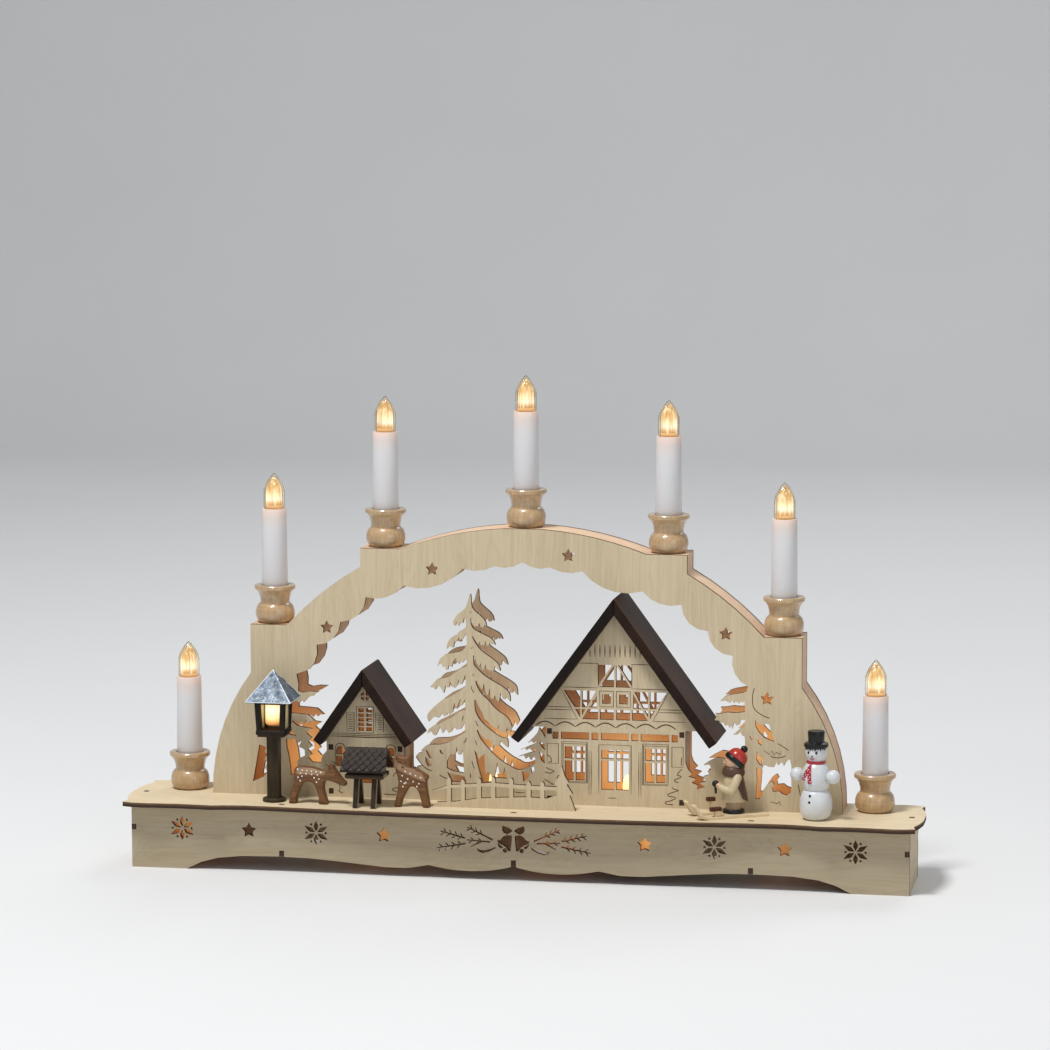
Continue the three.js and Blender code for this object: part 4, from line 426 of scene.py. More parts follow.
def foil():
    """Dark blue-grey foil in broad smooth facets, with a few thin white creases that are painted highlights.
    """
    finish = Finish("crinkled_foil", Metallic=0.3, Specular_IOR_Level=0.3)
    broad = finish.noise((0.09, 0.09, 0.09), 2, 0.5, 0.8)
    fold = finish.noise((0.1, 0.1, 0.1), 5, 0.62, 1.0)
    # painted highlights along the creases
    crease_highlight = (1 - abs(fold - 0.5) * 80).above(0.4, 0.25)
    ground = finish.mix(broad.above(0.5, 0.08), screen(68, 80, 92), screen(94, 107, 121))
    colour = finish.mix(crease_highlight * 0.75, ground, screen(226, 231, 236))
    return finish.surface(colour, 0.42 + crease_highlight * 0.2, broad, 0.15)


def fawn_stain_painted_highlight():
    """Brown stain with a painted highlight: a paler band near the top of each fawn's sides, along its back.
    """
    finish = Finish("fawn_stain", Specular_IOR_Level=0.25, Coat_Weight=0.06, Coat_Roughness=0.3)
    streak = finish.noise((0.06, 0.9, 0.9), 4, 0.6, 0.4)
    tone = streak.above(0.5, 0.25)
    brown = finish.mix(tone, screen(90, 59, 34), screen(128, 90, 56))
    rise = finish.z - DECK
    grazing = finish.x.between(-143, -125, 1) * rise.between(19.6, 23.6, 0.4)
    alert_side = (finish.x + rise * 0.5).between(-64.5, -49.5, 0.8)
    alert_back = (finish.z + finish.x * 0.42).between(36.5, 41, 0.4)
    # painted highlight along the top of the back
    painted_back_highlight = finish.mix(tone, screen(138, 107, 80), screen(162, 133, 104))
    both = finish.math("MAXIMUM", grazing, alert_side * alert_back) * abs(finish.facing["Y"]).above(0.5)
    return finish.surface(finish.mix(both, brown, painted_back_highlight), 0.42 + streak * 0.15, streak, 0.06)


# Surfaces

def welded(points, quads):
    """Points that fall together become one, a quad that lost a corner is a triangle, and one that
    lost two is dropped."""
    keys = np.round(points * 1e7).astype(np.int64)
    _, first, back = np.unique(keys, axis=0, return_index=True, return_inverse=True)
    corners = back.reshape(-1)[quads]
    same = corners == np.roll(corners, -1, axis=1)
    lost = same.sum(axis=1)
    triangles = corners[lost == 1][~same[lost == 1]].reshape(-1, 3)
    return points[first], corners[lost == 0], triangles


def grid_quads(rows, columns, wrap_rows=False, wrap_columns=True):
    """Corner numbers of the quads between neighbouring rows and columns of a grid of points."""
    r = np.arange(rows if wrap_rows else rows - 1)
    c = np.arange(columns if wrap_columns else columns - 1)
    r, c = np.meshgrid(r, c, indexing="ij")
    down, right = (r + 1) % rows, (c + 1) % columns
    corners = [r * columns + c, r * columns + right, down * columns + right, down * columns + c]
    return np.stack(corners, axis=-1).reshape(-1, 4)


def outwards(mesh):
    """Turns every face of a closed mesh to look out of it."""
    work = bmesh.new()
    work.from_mesh(mesh)
    bmesh.ops.recalc_face_normals(work, faces=work.faces)
    work.to_mesh(mesh)
    work.free()


def placed(name, points, faces, material, body, replaces, sharp):
    """An object at the origin from points in metres and faces; it rides on the body. Edges sharper
    than the given angle stay crisp."""
    mesh = bpy.data.meshes.new(name)
    mesh.from_pydata(points.tolist(), [], faces)
    mesh.validate()
    outwards(mesh)
    mesh.polygons.foreach_set("use_smooth", np.full(len(mesh.polygons), True))
    mesh.set_sharp_from_angle(angle=math.radians(sharp))
    mesh.materials.append(material)
    made = bpy.data.objects.new(name, mesh)
    bpy.context.scene.collection.objects.link(made)
    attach(made, body)
    if replaces:
        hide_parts(*replaces)
    return made


def piece(name, parts, material, body="arch", replaces=(), sharp=40):
    """One object from a list of (points in mm, quads) grids."""
    flat = [points.reshape(-1, 3) for points, _ in parts]
    starts = np.cumsum([0] + [len(points) for points in flat[:-1]])
    quads = np.concatenate([quads + start for (_, quads), start in zip(parts, starts)])
    points, quads, triangles = welded(np.concatenate(flat) * MM, quads)
    faces = quads.tolist() + triangles.tolist()
    return placed(name, points, faces, material, body, replaces, sharp)


def smooth_line(points, steps=4, closed=False):
    """A curve through the points: on each span a cubic whose slopes are half the chord between the
    neighbouring points."""
    points = np.asarray(points, float)
    if closed:
        before, start, end, after = (np.roll(points, shift, axis=0) for shift in (1, 0, -1, -2))
    else:
        padded = np.concatenate([points[:1], points, points[-1:]])
        before, start, end, after = padded[:-3], padded[1:-2], padded[2:-1], padded[3:]
    t = np.arange(steps)[None, :, None] / steps
    m0, m1 = (end - before)[:, None] / 2, (after - start)[:, None] / 2
    p0, p1 = start[:, None], end[:, None]
    curve = (2 * t**3 - 3 * t**2 + 1) * p0 + (t**3 - 2 * t**2 + t) * m0
    curve = curve + (3 * t**2 - 2 * t**3) * p1 + (t**3 - t**2) * m1
    curve = curve.reshape(-1, points.shape[1])
    return curve if closed else np.concatenate([curve, points[-1:]])


def lathe(profile, x=0.0, y=0.0, z=0.0, around=48, closed=False, flutes=0, flute_depth=0.0):
    """Radius r and height h of the profile are carried round an upright axis: the point at angle a is
    x + r f cos a, y + r f sin a, z + h, where f = 1 + depth cos(flutes a)."""
    r, h = np.asarray(profile, float).T
    a = np.linspace(0, 2 * np.pi, around, endpoint=False)
    spread = r[:, None] * (1 + flute_depth * np.cos(flutes * a))
    heights = np.repeat(z + h[:, None], around, 1)
    points = np.stack([x + spread * np.cos(a), y + spread * np.sin(a), heights], axis=-1)
    return points, grid_quads(len(r), around, wrap_rows=closed)


def tube(path, radius, around=12, squeeze=(1, 1), up=(0, 0, 1)):
    """A ring of the given radius is carried along the path. The ring stands square to the path, its
    second axis is as near to up as that allows, and both ends are drawn in to a point."""
    path = np.asarray(path, float)
    radius = np.broadcast_to(np.asarray(radius, float), len(path)).copy()
    along = np.gradient(path, axis=0)
    along /= np.linalg.norm(along, axis=1, keepdims=True)
    side = np.cross(along, np.asarray(up, float))
    side /= np.linalg.norm(side, axis=1, keepdims=True)
    rise = np.cross(side, along)
    path = np.concatenate([path[:1], path, path[-1:]])
    side, rise = (np.concatenate([v[:1], v, v[-1:]]) for v in (side, rise))
    radius = np.concatenate([[0], radius, [0]])
    a = np.linspace(0, 2 * np.pi, around, endpoint=False)[None, :, None]
    ring = np.cos(a) * side[:, None] * squeeze[0] + np.sin(a) * rise[:, None] * squeeze[1]
    return path[:, None] + ring * radius[:, None, None], grid_quads(len(path), around)


def dome(x, y, z, radius, around=16, squeeze=(1, 1, 1), rings=9):
    """A ball: at latitude b and angle a the point is r cos b cos a, r cos b sin a, r sin b, each times
    its squeeze."""
    b = np.linspace(-np.pi / 2, np.pi / 2, rings)[:, None]
    a = np.linspace(0, 2 * np.pi, around, endpoint=False)[None, :]
    spread = np.where(np.abs(np.abs(b) - np.pi / 2) < 1e-9, 0, np.cos(b))
    points = np.stack([spread * np.cos(a), spread * np.sin(a), np.sin(b) + 0 * a], axis=-1)
    return points * radius * np.asarray(squeeze) + np.array([x, y, z]), grid_quads(rings, around)


def slab(x0, x1, y0, y1, z0, z1, round_by=0.3):
    """A board with its edges broken: a rectangle with rounded corners is carried up Z, drawn in by the
    rounding at the bottom and the top."""
    corner = np.linspace(0, np.pi / 2, 3)
    turns = np.concatenate([corner + k * np.pi / 2 for k in range(4)])
    signs = np.repeat([[1, 1], [-1, 1], [-1, -1], [1, -1]], 3, axis=0)
    ring = signs * np.array([(x1 - x0) / 2 - round_by, (y1 - y0) / 2 - round_by])
    arc = np.stack([np.cos(turns), np.sin(turns)], axis=-1) * round_by
    middle = np.array([(x0 + x1) / 2, (y0 + y1) / 2])
    outlines = [0 * ring, ring, ring + arc, ring + arc, ring, 0 * ring]
    heights = [z0, z0, z0 + round_by, z1 - round_by, z1, z1]
    rows = [np.column_stack([middle + flat, np.full(len(ring), z)]) for flat, z in zip(outlines, heights)]
    return np.stack(rows), grid_quads(len(rows), len(ring))


RIBBON_PROUD = 0.06
RIBBON_SUNK = 0.1


def ribbon(line, width, y):
    """A flat strip along a line in X and Z, narrower at both ends, that is sunk a little into the face
    at y and stands a little proud of it."""
    line = np.asarray(line, float)
    along = np.gradient(line, axis=0)
    along /= np.linalg.norm(along, axis=1, keepdims=True) + 1e-9
    half = np.full(len(line), width / 2)
    half[[0, -1]] *= 0.4
    side = np.stack([-along[:, 1], along[:, 0]], axis=-1) * half[:, None]
    columns = []
    proud, sunk = y - RIBBON_PROUD, y + RIBBON_SUNK
    for edge, depth in ((side, proud), (-side, proud), (-side, sunk), (side, sunk)):
        place = line + edge
        columns.append(np.column_stack([place[:, 0], np.full(len(line), depth), place[:, 1]]))
    last = 4 * (len(line) - 1)
    ends = np.array([[0, 1, 2, 3], [last, last + 1, last + 2, last + 3]])
    return np.stack(columns, axis=1), np.concatenate([grid_quads(len(line), 4), ends])


def moved(part, turn_degrees=0.0, x=0.0, y=0.0, z=0.0):
    """A grid turned about the upright axis through zero and then shifted."""
    points, quads = part
    c, s = math.cos(math.radians(turn_degrees)), math.sin(math.radians(turn_degrees))
    turn = np.array([[c, s, 0], [-s, c, 0], [0, 0, 1]])
    return points @ turn + np.array([x, y, z]), quads


def inset(outline, distance):
    """Each corner of a closed outline moves inwards, square to the chord between its neighbours."""
    before, after = np.roll(outline, 1, axis=0), np.roll(outline, -1, axis=0)
    chord = after - before
    chord /= np.linalg.norm(chord, axis=1, keepdims=True) + 1e-12
    area = np.sum(outline[:, 0] * after[:, 1] - outline[:, 1] * after[:, 0])
    return outline + np.stack([-chord[:, 1], chord[:, 0]], axis=-1) * np.sign(area) * distance


def carved(name, outline, y, thickness, round_by, material, replaces=()):
    """A sawn shape with rounded-over edges: the outline in X and Z is carried across Y on a quarter
    ellipse, in at the faces and full at the middle, and flat faces close it."""
    outline = np.asarray(outline, float)
    b = np.linspace(-np.pi / 2, np.pi / 2, 8)
    insets = round_by * (1 - np.cos(b))
    depths = y + np.sign(b) * (thickness / 2 - round_by) + round_by * np.sin(b)
    rings = [(inset(outline, i), np.full(len(outline), d)) for i, d in zip(insets, depths)]
    points = np.stack([np.column_stack([ring[:, 0], d, ring[:, 1]]) for ring, d in rings])
    face = inset(outline, insets[0])
    cap = np.array(tessellate_polygon([[Vector((x, z, 0)) for x, z in face]]))
    far_cap = cap + (len(rings) - 1) * len(outline)
    faces = grid_quads(len(rings), len(outline)).tolist() + cap.tolist() + far_cap.tolist()
    return placed(name, points.reshape(-1, 3) * MM, faces, material, "arch", replaces, 50)


def strip_ends(rows, columns):
    """Quads that close the first and last row of a flattened ring, whose columns run out and back."""
    c = np.arange(columns // 2 - 1)
    back = columns - 1 - c
    first = np.stack([c, c + 1, back - 1, back], axis=-1)
    return np.concatenate([first, first[:, ::-1] + (rows - 1) * columns])


def dress(material, *names):
    """Gives CAD nodes their finish."""
    for name in names:
        slots = nodes[name].data.materials
        slots.clear()
        slots.append(material)


# Camera, room and lamps

CAMERA_PLACE = Vector((0.45933, -2.39671, 0.52578))
CAMERA_TARGET = Vector((0.00007, 0.012, 0.22392))
CAMERA_ROLL = -0.00245
LENS = 131.97
LAMP_AIM = Vector((0, 0, 0.12))


def photographer():
    """The photograph's camera: level axes across the line of sight, turned about it by a small roll."""
    data = bpy.data.cameras.new("camera")
    data.lens = LENS
    data.sensor_width = 36
    data.clip_end = 60
    made = bpy.data.objects.new("camera", data)
    bpy.context.scene.collection.objects.link(made)
    forward = (CAMERA_TARGET - CAMERA_PLACE).normalized()
    level_right = forward.cross(Vector((0, 0, 1))).normalized()
    level_up = level_right.cross(forward)
    right = level_right * math.cos(CAMERA_ROLL) + level_up * math.sin(CAMERA_ROLL)
    up = level_up * math.cos(CAMERA_ROLL) - level_right * math.sin(CAMERA_ROLL)
    made.matrix_world = Matrix((
        (right.x, up.x, -forward.x, CAMERA_PLACE.x),
        (right.y, up.y, -forward.y, CAMERA_PLACE.y),
        (right.z, up.z, -forward.z, CAMERA_PLACE.z),
        (0, 0, 0, 1),
    ))
    bpy.context.scene.camera = made


def room():
    """A pale floor that curves up into a backdrop: the profile is carried along X."""
    corner = np.linspace(0, np.pi / 2, 12)
    reach, rise, bend = 3.2, 3.0, 0.7
    y = np.concatenate([[-reach], reach - bend + bend * np.sin(corner), [reach]])
    z = np.concatenate([[0], bend - bend * np.cos(corner), [rise]])
    x = np.tile([-5.0, 5.0], (len(y), 1))
    points = np.stack([x, np.repeat(y[:, None], 2, 1), np.repeat(z[:, None], 2, 1)], axis=-1)
    mesh = bpy.data.meshes.new("studio_floor")
    mesh.from_pydata(points.reshape(-1, 3).tolist(), [], grid_quads(len(y), 2, wrap_columns=False).tolist())
    mesh.polygons.foreach_set("use_smooth", np.full(len(mesh.polygons), True))
    paper = Finish("studio_paper", Roughness=0.85)
    tone = paper.noise((0.004, 0.004, 0.004), 2)
    mesh.materials.append(paper.surface(paper.mix(tone, screen(221, 221, 221), screen(226, 226, 226))))
    made = bpy.data.objects.new("studio_floor", mesh)
    bpy.context.scene.collection.objects.link(made)


def lamp(name, place, size, watts):
    """A round area lamp that faces the middle of the part."""
    data = bpy.data.lights.new(name, "AREA")
    data.shape = "DISK"
    data.size = size
    data.energy = watts
    made = bpy.data.objects.new(name, data)
    made.location = place
    made.rotation_mode = "QUATERNION"
    made.rotation_quaternion = (LAMP_AIM - Vector(place)).to_track_quat("-Z", "Y")
    bpy.context.scene.collection.objects.link(made)


photographer()
bpy.context.scene.view_settings.view_transform = "Standard"
room()
lamp("key_light", (-0.5, -0.95, 2.5), 0.6, 56)
lamp("fill_light", (1.5, -2.1, 0.9), 1.6, 8)
lamp("rim_light", (0.6, 1.9, 2.0), 1.2, 12)
world = bpy.data.worlds.new("studio")
bpy.context.scene.world = world
world.use_nodes = True
sky = world.node_tree.nodes["Background"].inputs
sky["Color"].default_value = (0.93, 0.96, 1.0, 1)
sky["Strength"].default_value = 0.35


# Plywood

# The sheets' and the base panels' inner faces get painted lamp light
dress(
    birch("front_sheet_birch", "Y", "Z", FRONT_SHEET_Y, (1, ARCH_PAINTED_LIGHT, 0.2, FRONT_SHEET_BACK_Y)),
    "arch_front_sheet",
)
dress(
    birch("back_sheet_birch", "Y", "Z", BACK_SHEET_Y, (-1, ARCH_PAINTED_LIGHT, 0.26, BACK_SHEET_Y)),
    "arch_back_sheet",
)
strip_birch = bare_birch("cover_strip_birch", screen(226, 196, 166), screen(206, 172, 138))
dress(strip_birch, "cover_strip_crown", "cover_strip_left", "cover_strip_right")
front_painted_light = (1, BASE_PAINTED_LIGHT, 0.03, BASE_FRONT_Y + PLY)
back_painted_light = (-1, BASE_PAINTED_LIGHT, 0.05, BASE_BACK_Y)
# Front panel tones at 0.7: painted shade under the plate's overhang
dress(birch("front_panel_birch", "Y", "X", BASE_FRONT_Y, front_painted_light, 0.7), "base_front_panel")
dress(birch("back_panel_birch", "Y", "X", BASE_BACK_Y, back_painted_light), "base_back_panel")
plate_plies = (screen(46, 31, 22), screen(70, 48, 32), screen(112, 86, 60))
# Plate tones at 1.22: painted light from above
dress(birch("plate_birch", "Z", "X", DECK - PLY, bright=1.22, plies=plate_plies), "top_plate")
dress(birch("end_left_birch", "X", "Y", END_LEFT_X), "base_end_left")
dress(birch("end_right_birch", "X", "Y", END_RIGHT_X), "base_end_right")
dress(birch("rib_birch", "X", "Y", ONE_TONE), "rib_left", "rib_middle", "rib_right")
walls = ["large_wall_left", "large_wall_right", "small_wall_left", "small_wall_right"]
dress(birch("wall_birch", "X", "Z", ONE_TONE), *walls)
dress(birch("fence_birch", "Y", "Z", FENCE_Y), "picket_fence")
dress(bare_birch("sledge_birch", screen(222, 204, 168), screen(202, 180, 142)), "sledge")

# Other pieces that keep their CAD form
post_black = stained("post_stain", screen(38, 31, 20), screen(66, 54, 36), "Z")
dress(post_black, "lamp_post")
rack_sides = screen(170, 152, 122)
rack_brown = stained("rack_stain", screen(36, 30, 24), screen(64, 54, 44), "Z", pale_sides=rack_sides)
dress(rack_brown, "feeding_rack")
# The battery box's front gets painted lamp light
dress(moulded("box_plastic", screen(34, 34, 36), light=BOX_PAINTED_LIGHT), "battery_box")
dress(moulded("dark_plastic", screen(34, 34, 36)), "battery_cover", "switch_knob")
dress(moulded("cell_sleeve_film", screen(70, 92, 84), 0.3), "battery_pack")
dress(moulded("wire_dark_skin", screen(38, 38, 40)), "wiring_harness")
lantern_stops = [
    (0, screen(170, 116, 66)), (0.12, screen(226, 160, 92)), (0.3, screen(255, 220, 156)),
    (0.7, screen(255, 242, 204)), (1, screen(252, 200, 128)),
]
dress(lit("lantern_glow", lantern_stops, SCREEN_FOOT, SCREEN_TOP, 1.0), "lamp_screen")
inner_stops = [(0, screen(255, 170, 80)), (1, screen(255, 236, 180))]
inner_lamps = ["interior_lamp_left", "interior_lamp_middle", "interior_lamp_house"]
dress(lit("inner_lamp_glow", inner_stops, INNER_LAMP_FOOT, INNER_LAMP_TOP, 1.6), *inner_lamps)


# Roof boards

RIDGE_GAP = 0.15
ROOF_ROUNDING = 0.6


def roof_board(name, house, side):
    """A board from the ridge down one side, cut square at the eave, its edges rounded by a bevel."""
    slope = math.radians(house["slope"])
    reach, fall = house["run"] * math.cos(slope), house["run"] * math.sin(slope)
    across, down = ROOF_BOARD * math.sin(slope), ROOF_BOARD * math.cos(slope)
    under = house["ridge"] - ROOF_BOARD / math.cos(slope)
    offsets = np.array([RIDGE_GAP, reach, reach - across, RIDGE_GAP])
    heights = np.array([house["ridge"], house["ridge"] - fall, house["ridge"] - fall - down, under])
    heights[[0, 3]] -= RIDGE_GAP * math.tan(slope)
    x = house["x"] + side * offsets
    y = np.array([ROOF_FRONT_Y, ROOF_BACK_Y])[:, None] + 0 * x
    points = np.stack([x + 0 * y, y, heights + 0 * y], axis=-1).reshape(-1, 3)
    faces = grid_quads(2, 4).tolist() + [[0, 1, 2, 3], [4, 5, 6, 7]]
    # painted light and shade: boards sloping to the right get a lighter streak tone, those to the left a
    # darker one
    light = screen(76, 48, 30) if side > 0 else screen(40, 28, 21)
    finish = stained(name + "_stain", screen(27, 18, 13), light, "X", 0.4, side * house["slope"], ends=0.35)
    board = placed(name + "_board", points * MM, faces, finish, "arch", [name], 30)
    bevel = board.modifiers.new("rounded_edges", "BEVEL")
    bevel.width = ROOF_ROUNDING * MM
    bevel.segments = 3


for title, house in (("large_roof", LARGE_HOUSE), ("small_roof", SMALL_HOUSE)):
    roof_board(title + "_left", house, -1)
    roof_board(title + "_right", house, 1)


# Candles

CUP_PROFILE = [
    (1.7, 0), (9.6, 0), (10.6, 0.5), (12.0, 2.2), (12.75, 5), (12.6, 8), (11.6, 10.9), (10.2, 12.5),
    (9.55, 12.9), (9.5, 13.4), (9.75, 16), (10.6, 19), (12.2, 21.2), (13.3, 22.1), (13.4, 22.8),
    (13.3, 24.1), (12.9, 24.6), (9.2, 24.6), (9.0, 24.3), (9.0, 8.2), (1.7, 8.2),
]
SLEEVE_PROFILE = [
    (2.3, 8.45), (8.55, 8.45), (8.65, 8.6), (7.98, 74.2), (7.85, 74.6), (6.3, 74.6), (6.1, 74.4),
    (6.1, 60.6), (2.3, 60.6),
]
DISH_PROFILE = [(0, 0.3), (5.6, 0.3), (5.8, 0.8), (5.4, 2.6), (5.0, 2.8), (4.8, 1.4), (0, 1.2)]
DISH_TOP = 2.8
CORE_GUIDE = [(0, 0.9), (5.0, 1.0), (5.5, 3), (5.45, 7), (5.2, 11), (4.4, 15), (2.6, 18.4), (0, 20.4)]
CORE_LIT_FROM, CORE_LIT_TO = 0.9, 19.6
CAP_WALL = 0.7
CAP_FLUTES, CAP_FLUTE_DEPTH = 16, 0.016


def cap_profile():
    """Half section of the bulb's clear cap: an upright wall, then an ogive to the tip, whose radius is
    6.9 times a power of a cosine. The inner wall is set in by the wall's thickness."""
    s = np.linspace(0, 1, 16)
    ogive = np.column_stack([6.9 * np.cos(s * np.pi / 2) ** 0.86, 10.2 + 12.7 * s])
    ogive[-1, 0] = 0
    outer = np.concatenate([[(6.3, 0), (6.75, 0.3), (6.9, 1.2), (6.9, 6)], ogive])
    inner_wall = outer[1:].copy()
    inner_wall[:, 0] = np.maximum(inner_wall[:, 0] - CAP_WALL, 0)
    inner_wall[-1, 1] -= 1.0
    inner_wall[0] = (6.0, 0)
    return np.concatenate([outer, inner_wall[::-1]])


def candles():
    """Cup, sleeve, clear cap, lit guide and dish of each candle, all turned about its own axis."""
    cup_wood = varnished("cup_varnish")
    glass = bulb_glass()
    cap = cap_profile()
    core = smooth_line(CORE_GUIDE, 4)
    core[:, 0] = np.maximum(core[:, 0], 0)
    dish_stops = [(0, screen(178, 136, 90)), (1, screen(236, 196, 142))]
    by_height = {}
    for number, (x, z) in enumerate(CANDLES, 1):
        seat = z + BULB_SEAT
        if z not in by_height:
            mark = round(z)
            by_height[z] = (
                sleeve_plastic(f"sleeve_white_{mark}", z + SLEEVE_TOP),
                bulb_light(f"bulb_core_{mark}", seat + CORE_LIT_FROM, seat + CORE_LIT_TO),
                lit(f"bulb_dish_{mark}", dish_stops, seat, seat + DISH_TOP, 0.8),
            )
        sleeve, core_light, dish_light = by_height[z]
        bulb = f"bulb_{number}"
        cup = lathe(CUP_PROFILE, x, CANDLE_Y, z, 64, closed=True)
        replaced = [f"candle_cup_{number}"]
        piece(f"cup_{number}", [cup], cup_wood, replaces=replaced, sharp=32)
        body = lathe(SLEEVE_PROFILE, x, CANDLE_Y, z, 48, closed=True)
        replaced = [f"candle_sleeve_{number}"]
        piece(f"sleeve_{number}", [body], sleeve, replaces=replaced)
        clear = lathe(cap, x, CANDLE_Y, seat, 96, True, CAP_FLUTES, CAP_FLUTE_DEPTH)
        piece(f"bulb_glass_{number}", [clear], glass, bulb, [f"candle_bulb_{number}"], 60)
        bright = lathe(core, x, CANDLE_Y, seat, 24)
        piece(f"bulb_core_{number}", [bright], core_light, bulb)
        low = lathe(DISH_PROFILE, x, CANDLE_Y, seat, 32)
        piece(f"bulb_dish_{number}", [low], dish_light, bulb)


candles()


# Snowman and man

black_paint = enamel("black_paint", screen(9, 9, 10), 0.34, 0.04)
scarf_paint = enamel("scarf_paint", screen(172, 36, 54), 0.32)
dot_paint = enamel("dot_paint", screen(240, 238, 232), 0.3)
skin_paint = enamel("skin_paint", screen(206, 164, 132), 0.32)
red_paint = enamel("red_paint", screen(172, 48, 36), 0.2)


def figure(place, slot, name, parts, material, replaces=(), sharp=40):
    """Parts drawn about the figure's own upright axis, turned and set in their place."""
    set_down = [moved(part, **place) for part in parts]
    piece(name, set_down, material, replaces=replaces, sharp=sharp)


def on_snowman(name, parts, material, replaces=(), sharp=40):
    """Parts of the snowman, set in its place."""
    figure(SNOWMAN, "white_paint", name, parts, material, replaces, sharp)


def on_man(name, parts, material, replaces=()):
    """Parts of the man on the sledge, set in his place."""
    figure(MAN, "coat_paint", name, parts, material, replaces)


def capped(low, line, high):
    """A profile that runs out from the axis at height low, along the line, and back to it at high."""
    return np.concatenate([[(0, low)], line, [(0, high)]])


def on_round(radius, angle, height, size, squeeze=(1, 1, 1)):
    """A small dome on an upright round body, at an angle in degrees from +X."""
    a = math.radians(angle)
    return dome(radius * math.cos(a), radius * math.sin(a), height, size, 10, squeeze, 7)


def scarf_tail(side, fall, sweep):
    """One end of the snowman's scarf down the chest: share along it, angle, height and distance out,
    which follows the chest."""
    t = np.linspace(0, 1, 9)
    height = 36 - fall * t
    reach = np.interp(height, [20, 25, 30, 34, 36.5], [8.4, 9.1, 9.0, 7.9, 6.3])
    return t, -98 + side * sweep * t, height, reach


def snowman_body():
    """Lower ball, chest and head turned in one piece, and on each side an arm tube with a round hand."""
    lower = smooth_line([(5.4, 0), (7.4, 0.7), (9.4, 3.4), (10.4, 9), (9.9, 14), (8.4, 17.6), (6.9, 19)], 5)
    chest = [(6.9, 19), (8.0, 20.6), (8.9, 25.4), (8.7, 30), (7.4, 34), (5.2, 36.8)]
    head = [(5.4, 38), (6.6, 41), (6.75, 43.6), (6.1, 46.4), (5.3, 47.2)]
    upper = smooth_line(chest + head, 5)[1:]
    body = [lathe(capped(0, np.concatenate([lower, upper]), 47.2), around=64)]
    for s in (-1, 1):
        arm = smooth_line([(6.4 * s, 0, 28.6), (9.2 * s, -0.9, 28.5), (12 * s, -1.5, 28.2)], 4)
        body += [tube(arm, 2.2, 16), dome(12.2 * s, -1.5, 28.2, 4.5, 32, rings=19)]
    white = enamel("snow_paint", screen(212, 215, 217))
    on_snowman("snowman_body", body, white, ["snowman"], 55)


def snowman_hat():
    """A turned top hat, and short strands under its brim, each a tube that thins to its tip."""
    hat = [
        (0, 46.2), (7.1, 46.2), (7.65, 46.7), (7.8, 47.6), (7.65, 48.5), (7.1, 49), (5.6, 49.2), (5.1, 49.6),
        (5.15, 52.4), (5.4, 56), (5.1, 56.6), (0, 56.6),
    ]
    fringe = []
    for i in range(-5, 6):
        a = math.radians(-90 + 15 * i)
        root = np.array([6.1 * math.cos(a), 6.1 * math.sin(a), 46.7])
        tip = np.array([6.75 * math.cos(a + 0.05), 6.75 * math.sin(a + 0.05), 45.3 - 0.5 * (i % 2)])
        fringe.append(tube(np.linspace(root, tip, 5), [1.0, 1.0, 0.8, 0.5, 0.12], 8, (1, 0.6), (0, 1, 0.2)))
    on_snowman("snowman_hat", [lathe(hat, around=56), *fringe], black_paint, sharp=35)


def snowman_face():
    """Eyes, nose and two buttons as small domes, and a mouth whose line rises with the square of the
    angle from the middle."""
    marks = [on_round(6.65, -90 + 23 * s, 43.5, 0.8, (1, 1, 1.25)) for s in (-1, 1)]
    marks.append(on_round(6.7, -90, 41.1, 0.6))
    marks += [on_round(9.4, -92, 16.4, 0.85, (1, 0.6, 1)), on_round(10.2, -92, 12.4, 0.85, (1, 0.6, 1))]
    on_snowman("snowman_marks", marks, black_paint)
    a = np.radians(np.linspace(-101, -79, 9))
    rise = 39.0 + 26 * (a + np.pi / 2) ** 2
    smile = tube(np.column_stack([6.5 * np.cos(a), 6.5 * np.sin(a), rise]), 0.28, 8)
    on_snowman("snowman_mouth", [smile], scarf_paint)


def snowman_scarf():
    """A turned collar and two flat tails down the chest, each with staggered dots."""
    ring = [(4.9, 36.3), (5.9, 36.0), (6.25, 36.7), (6.1, 37.5), (5.3, 37.9), (4.8, 37.2)]
    parts, spots = [lathe(ring, around=44, closed=True)], []
    for side, fall, sweep in ((-1, 10.2, 28), (1, 12.0, 4)):
        t, angle, height, reach = scarf_tail(side, fall, sweep)
        a = np.radians(angle)
        path = np.column_stack([reach * np.cos(a), reach * np.sin(a), height])
        parts.append(tube(path, 0.5 + 0.8 * np.minimum(1, 2 * t), 12, (1, 0.3), (0, -1, 0.1)))
        for i in range(2, 8):
            shift = 3.6 if i % 2 else -3.6
            spots.append(on_round(reach[i] + 0.42, angle[i] + shift, height[i], 0.33))
    on_snowman("snowman_scarf", parts, scarf_paint)
    on_snowman("snowman_scarf_spots", spots, dot_paint)


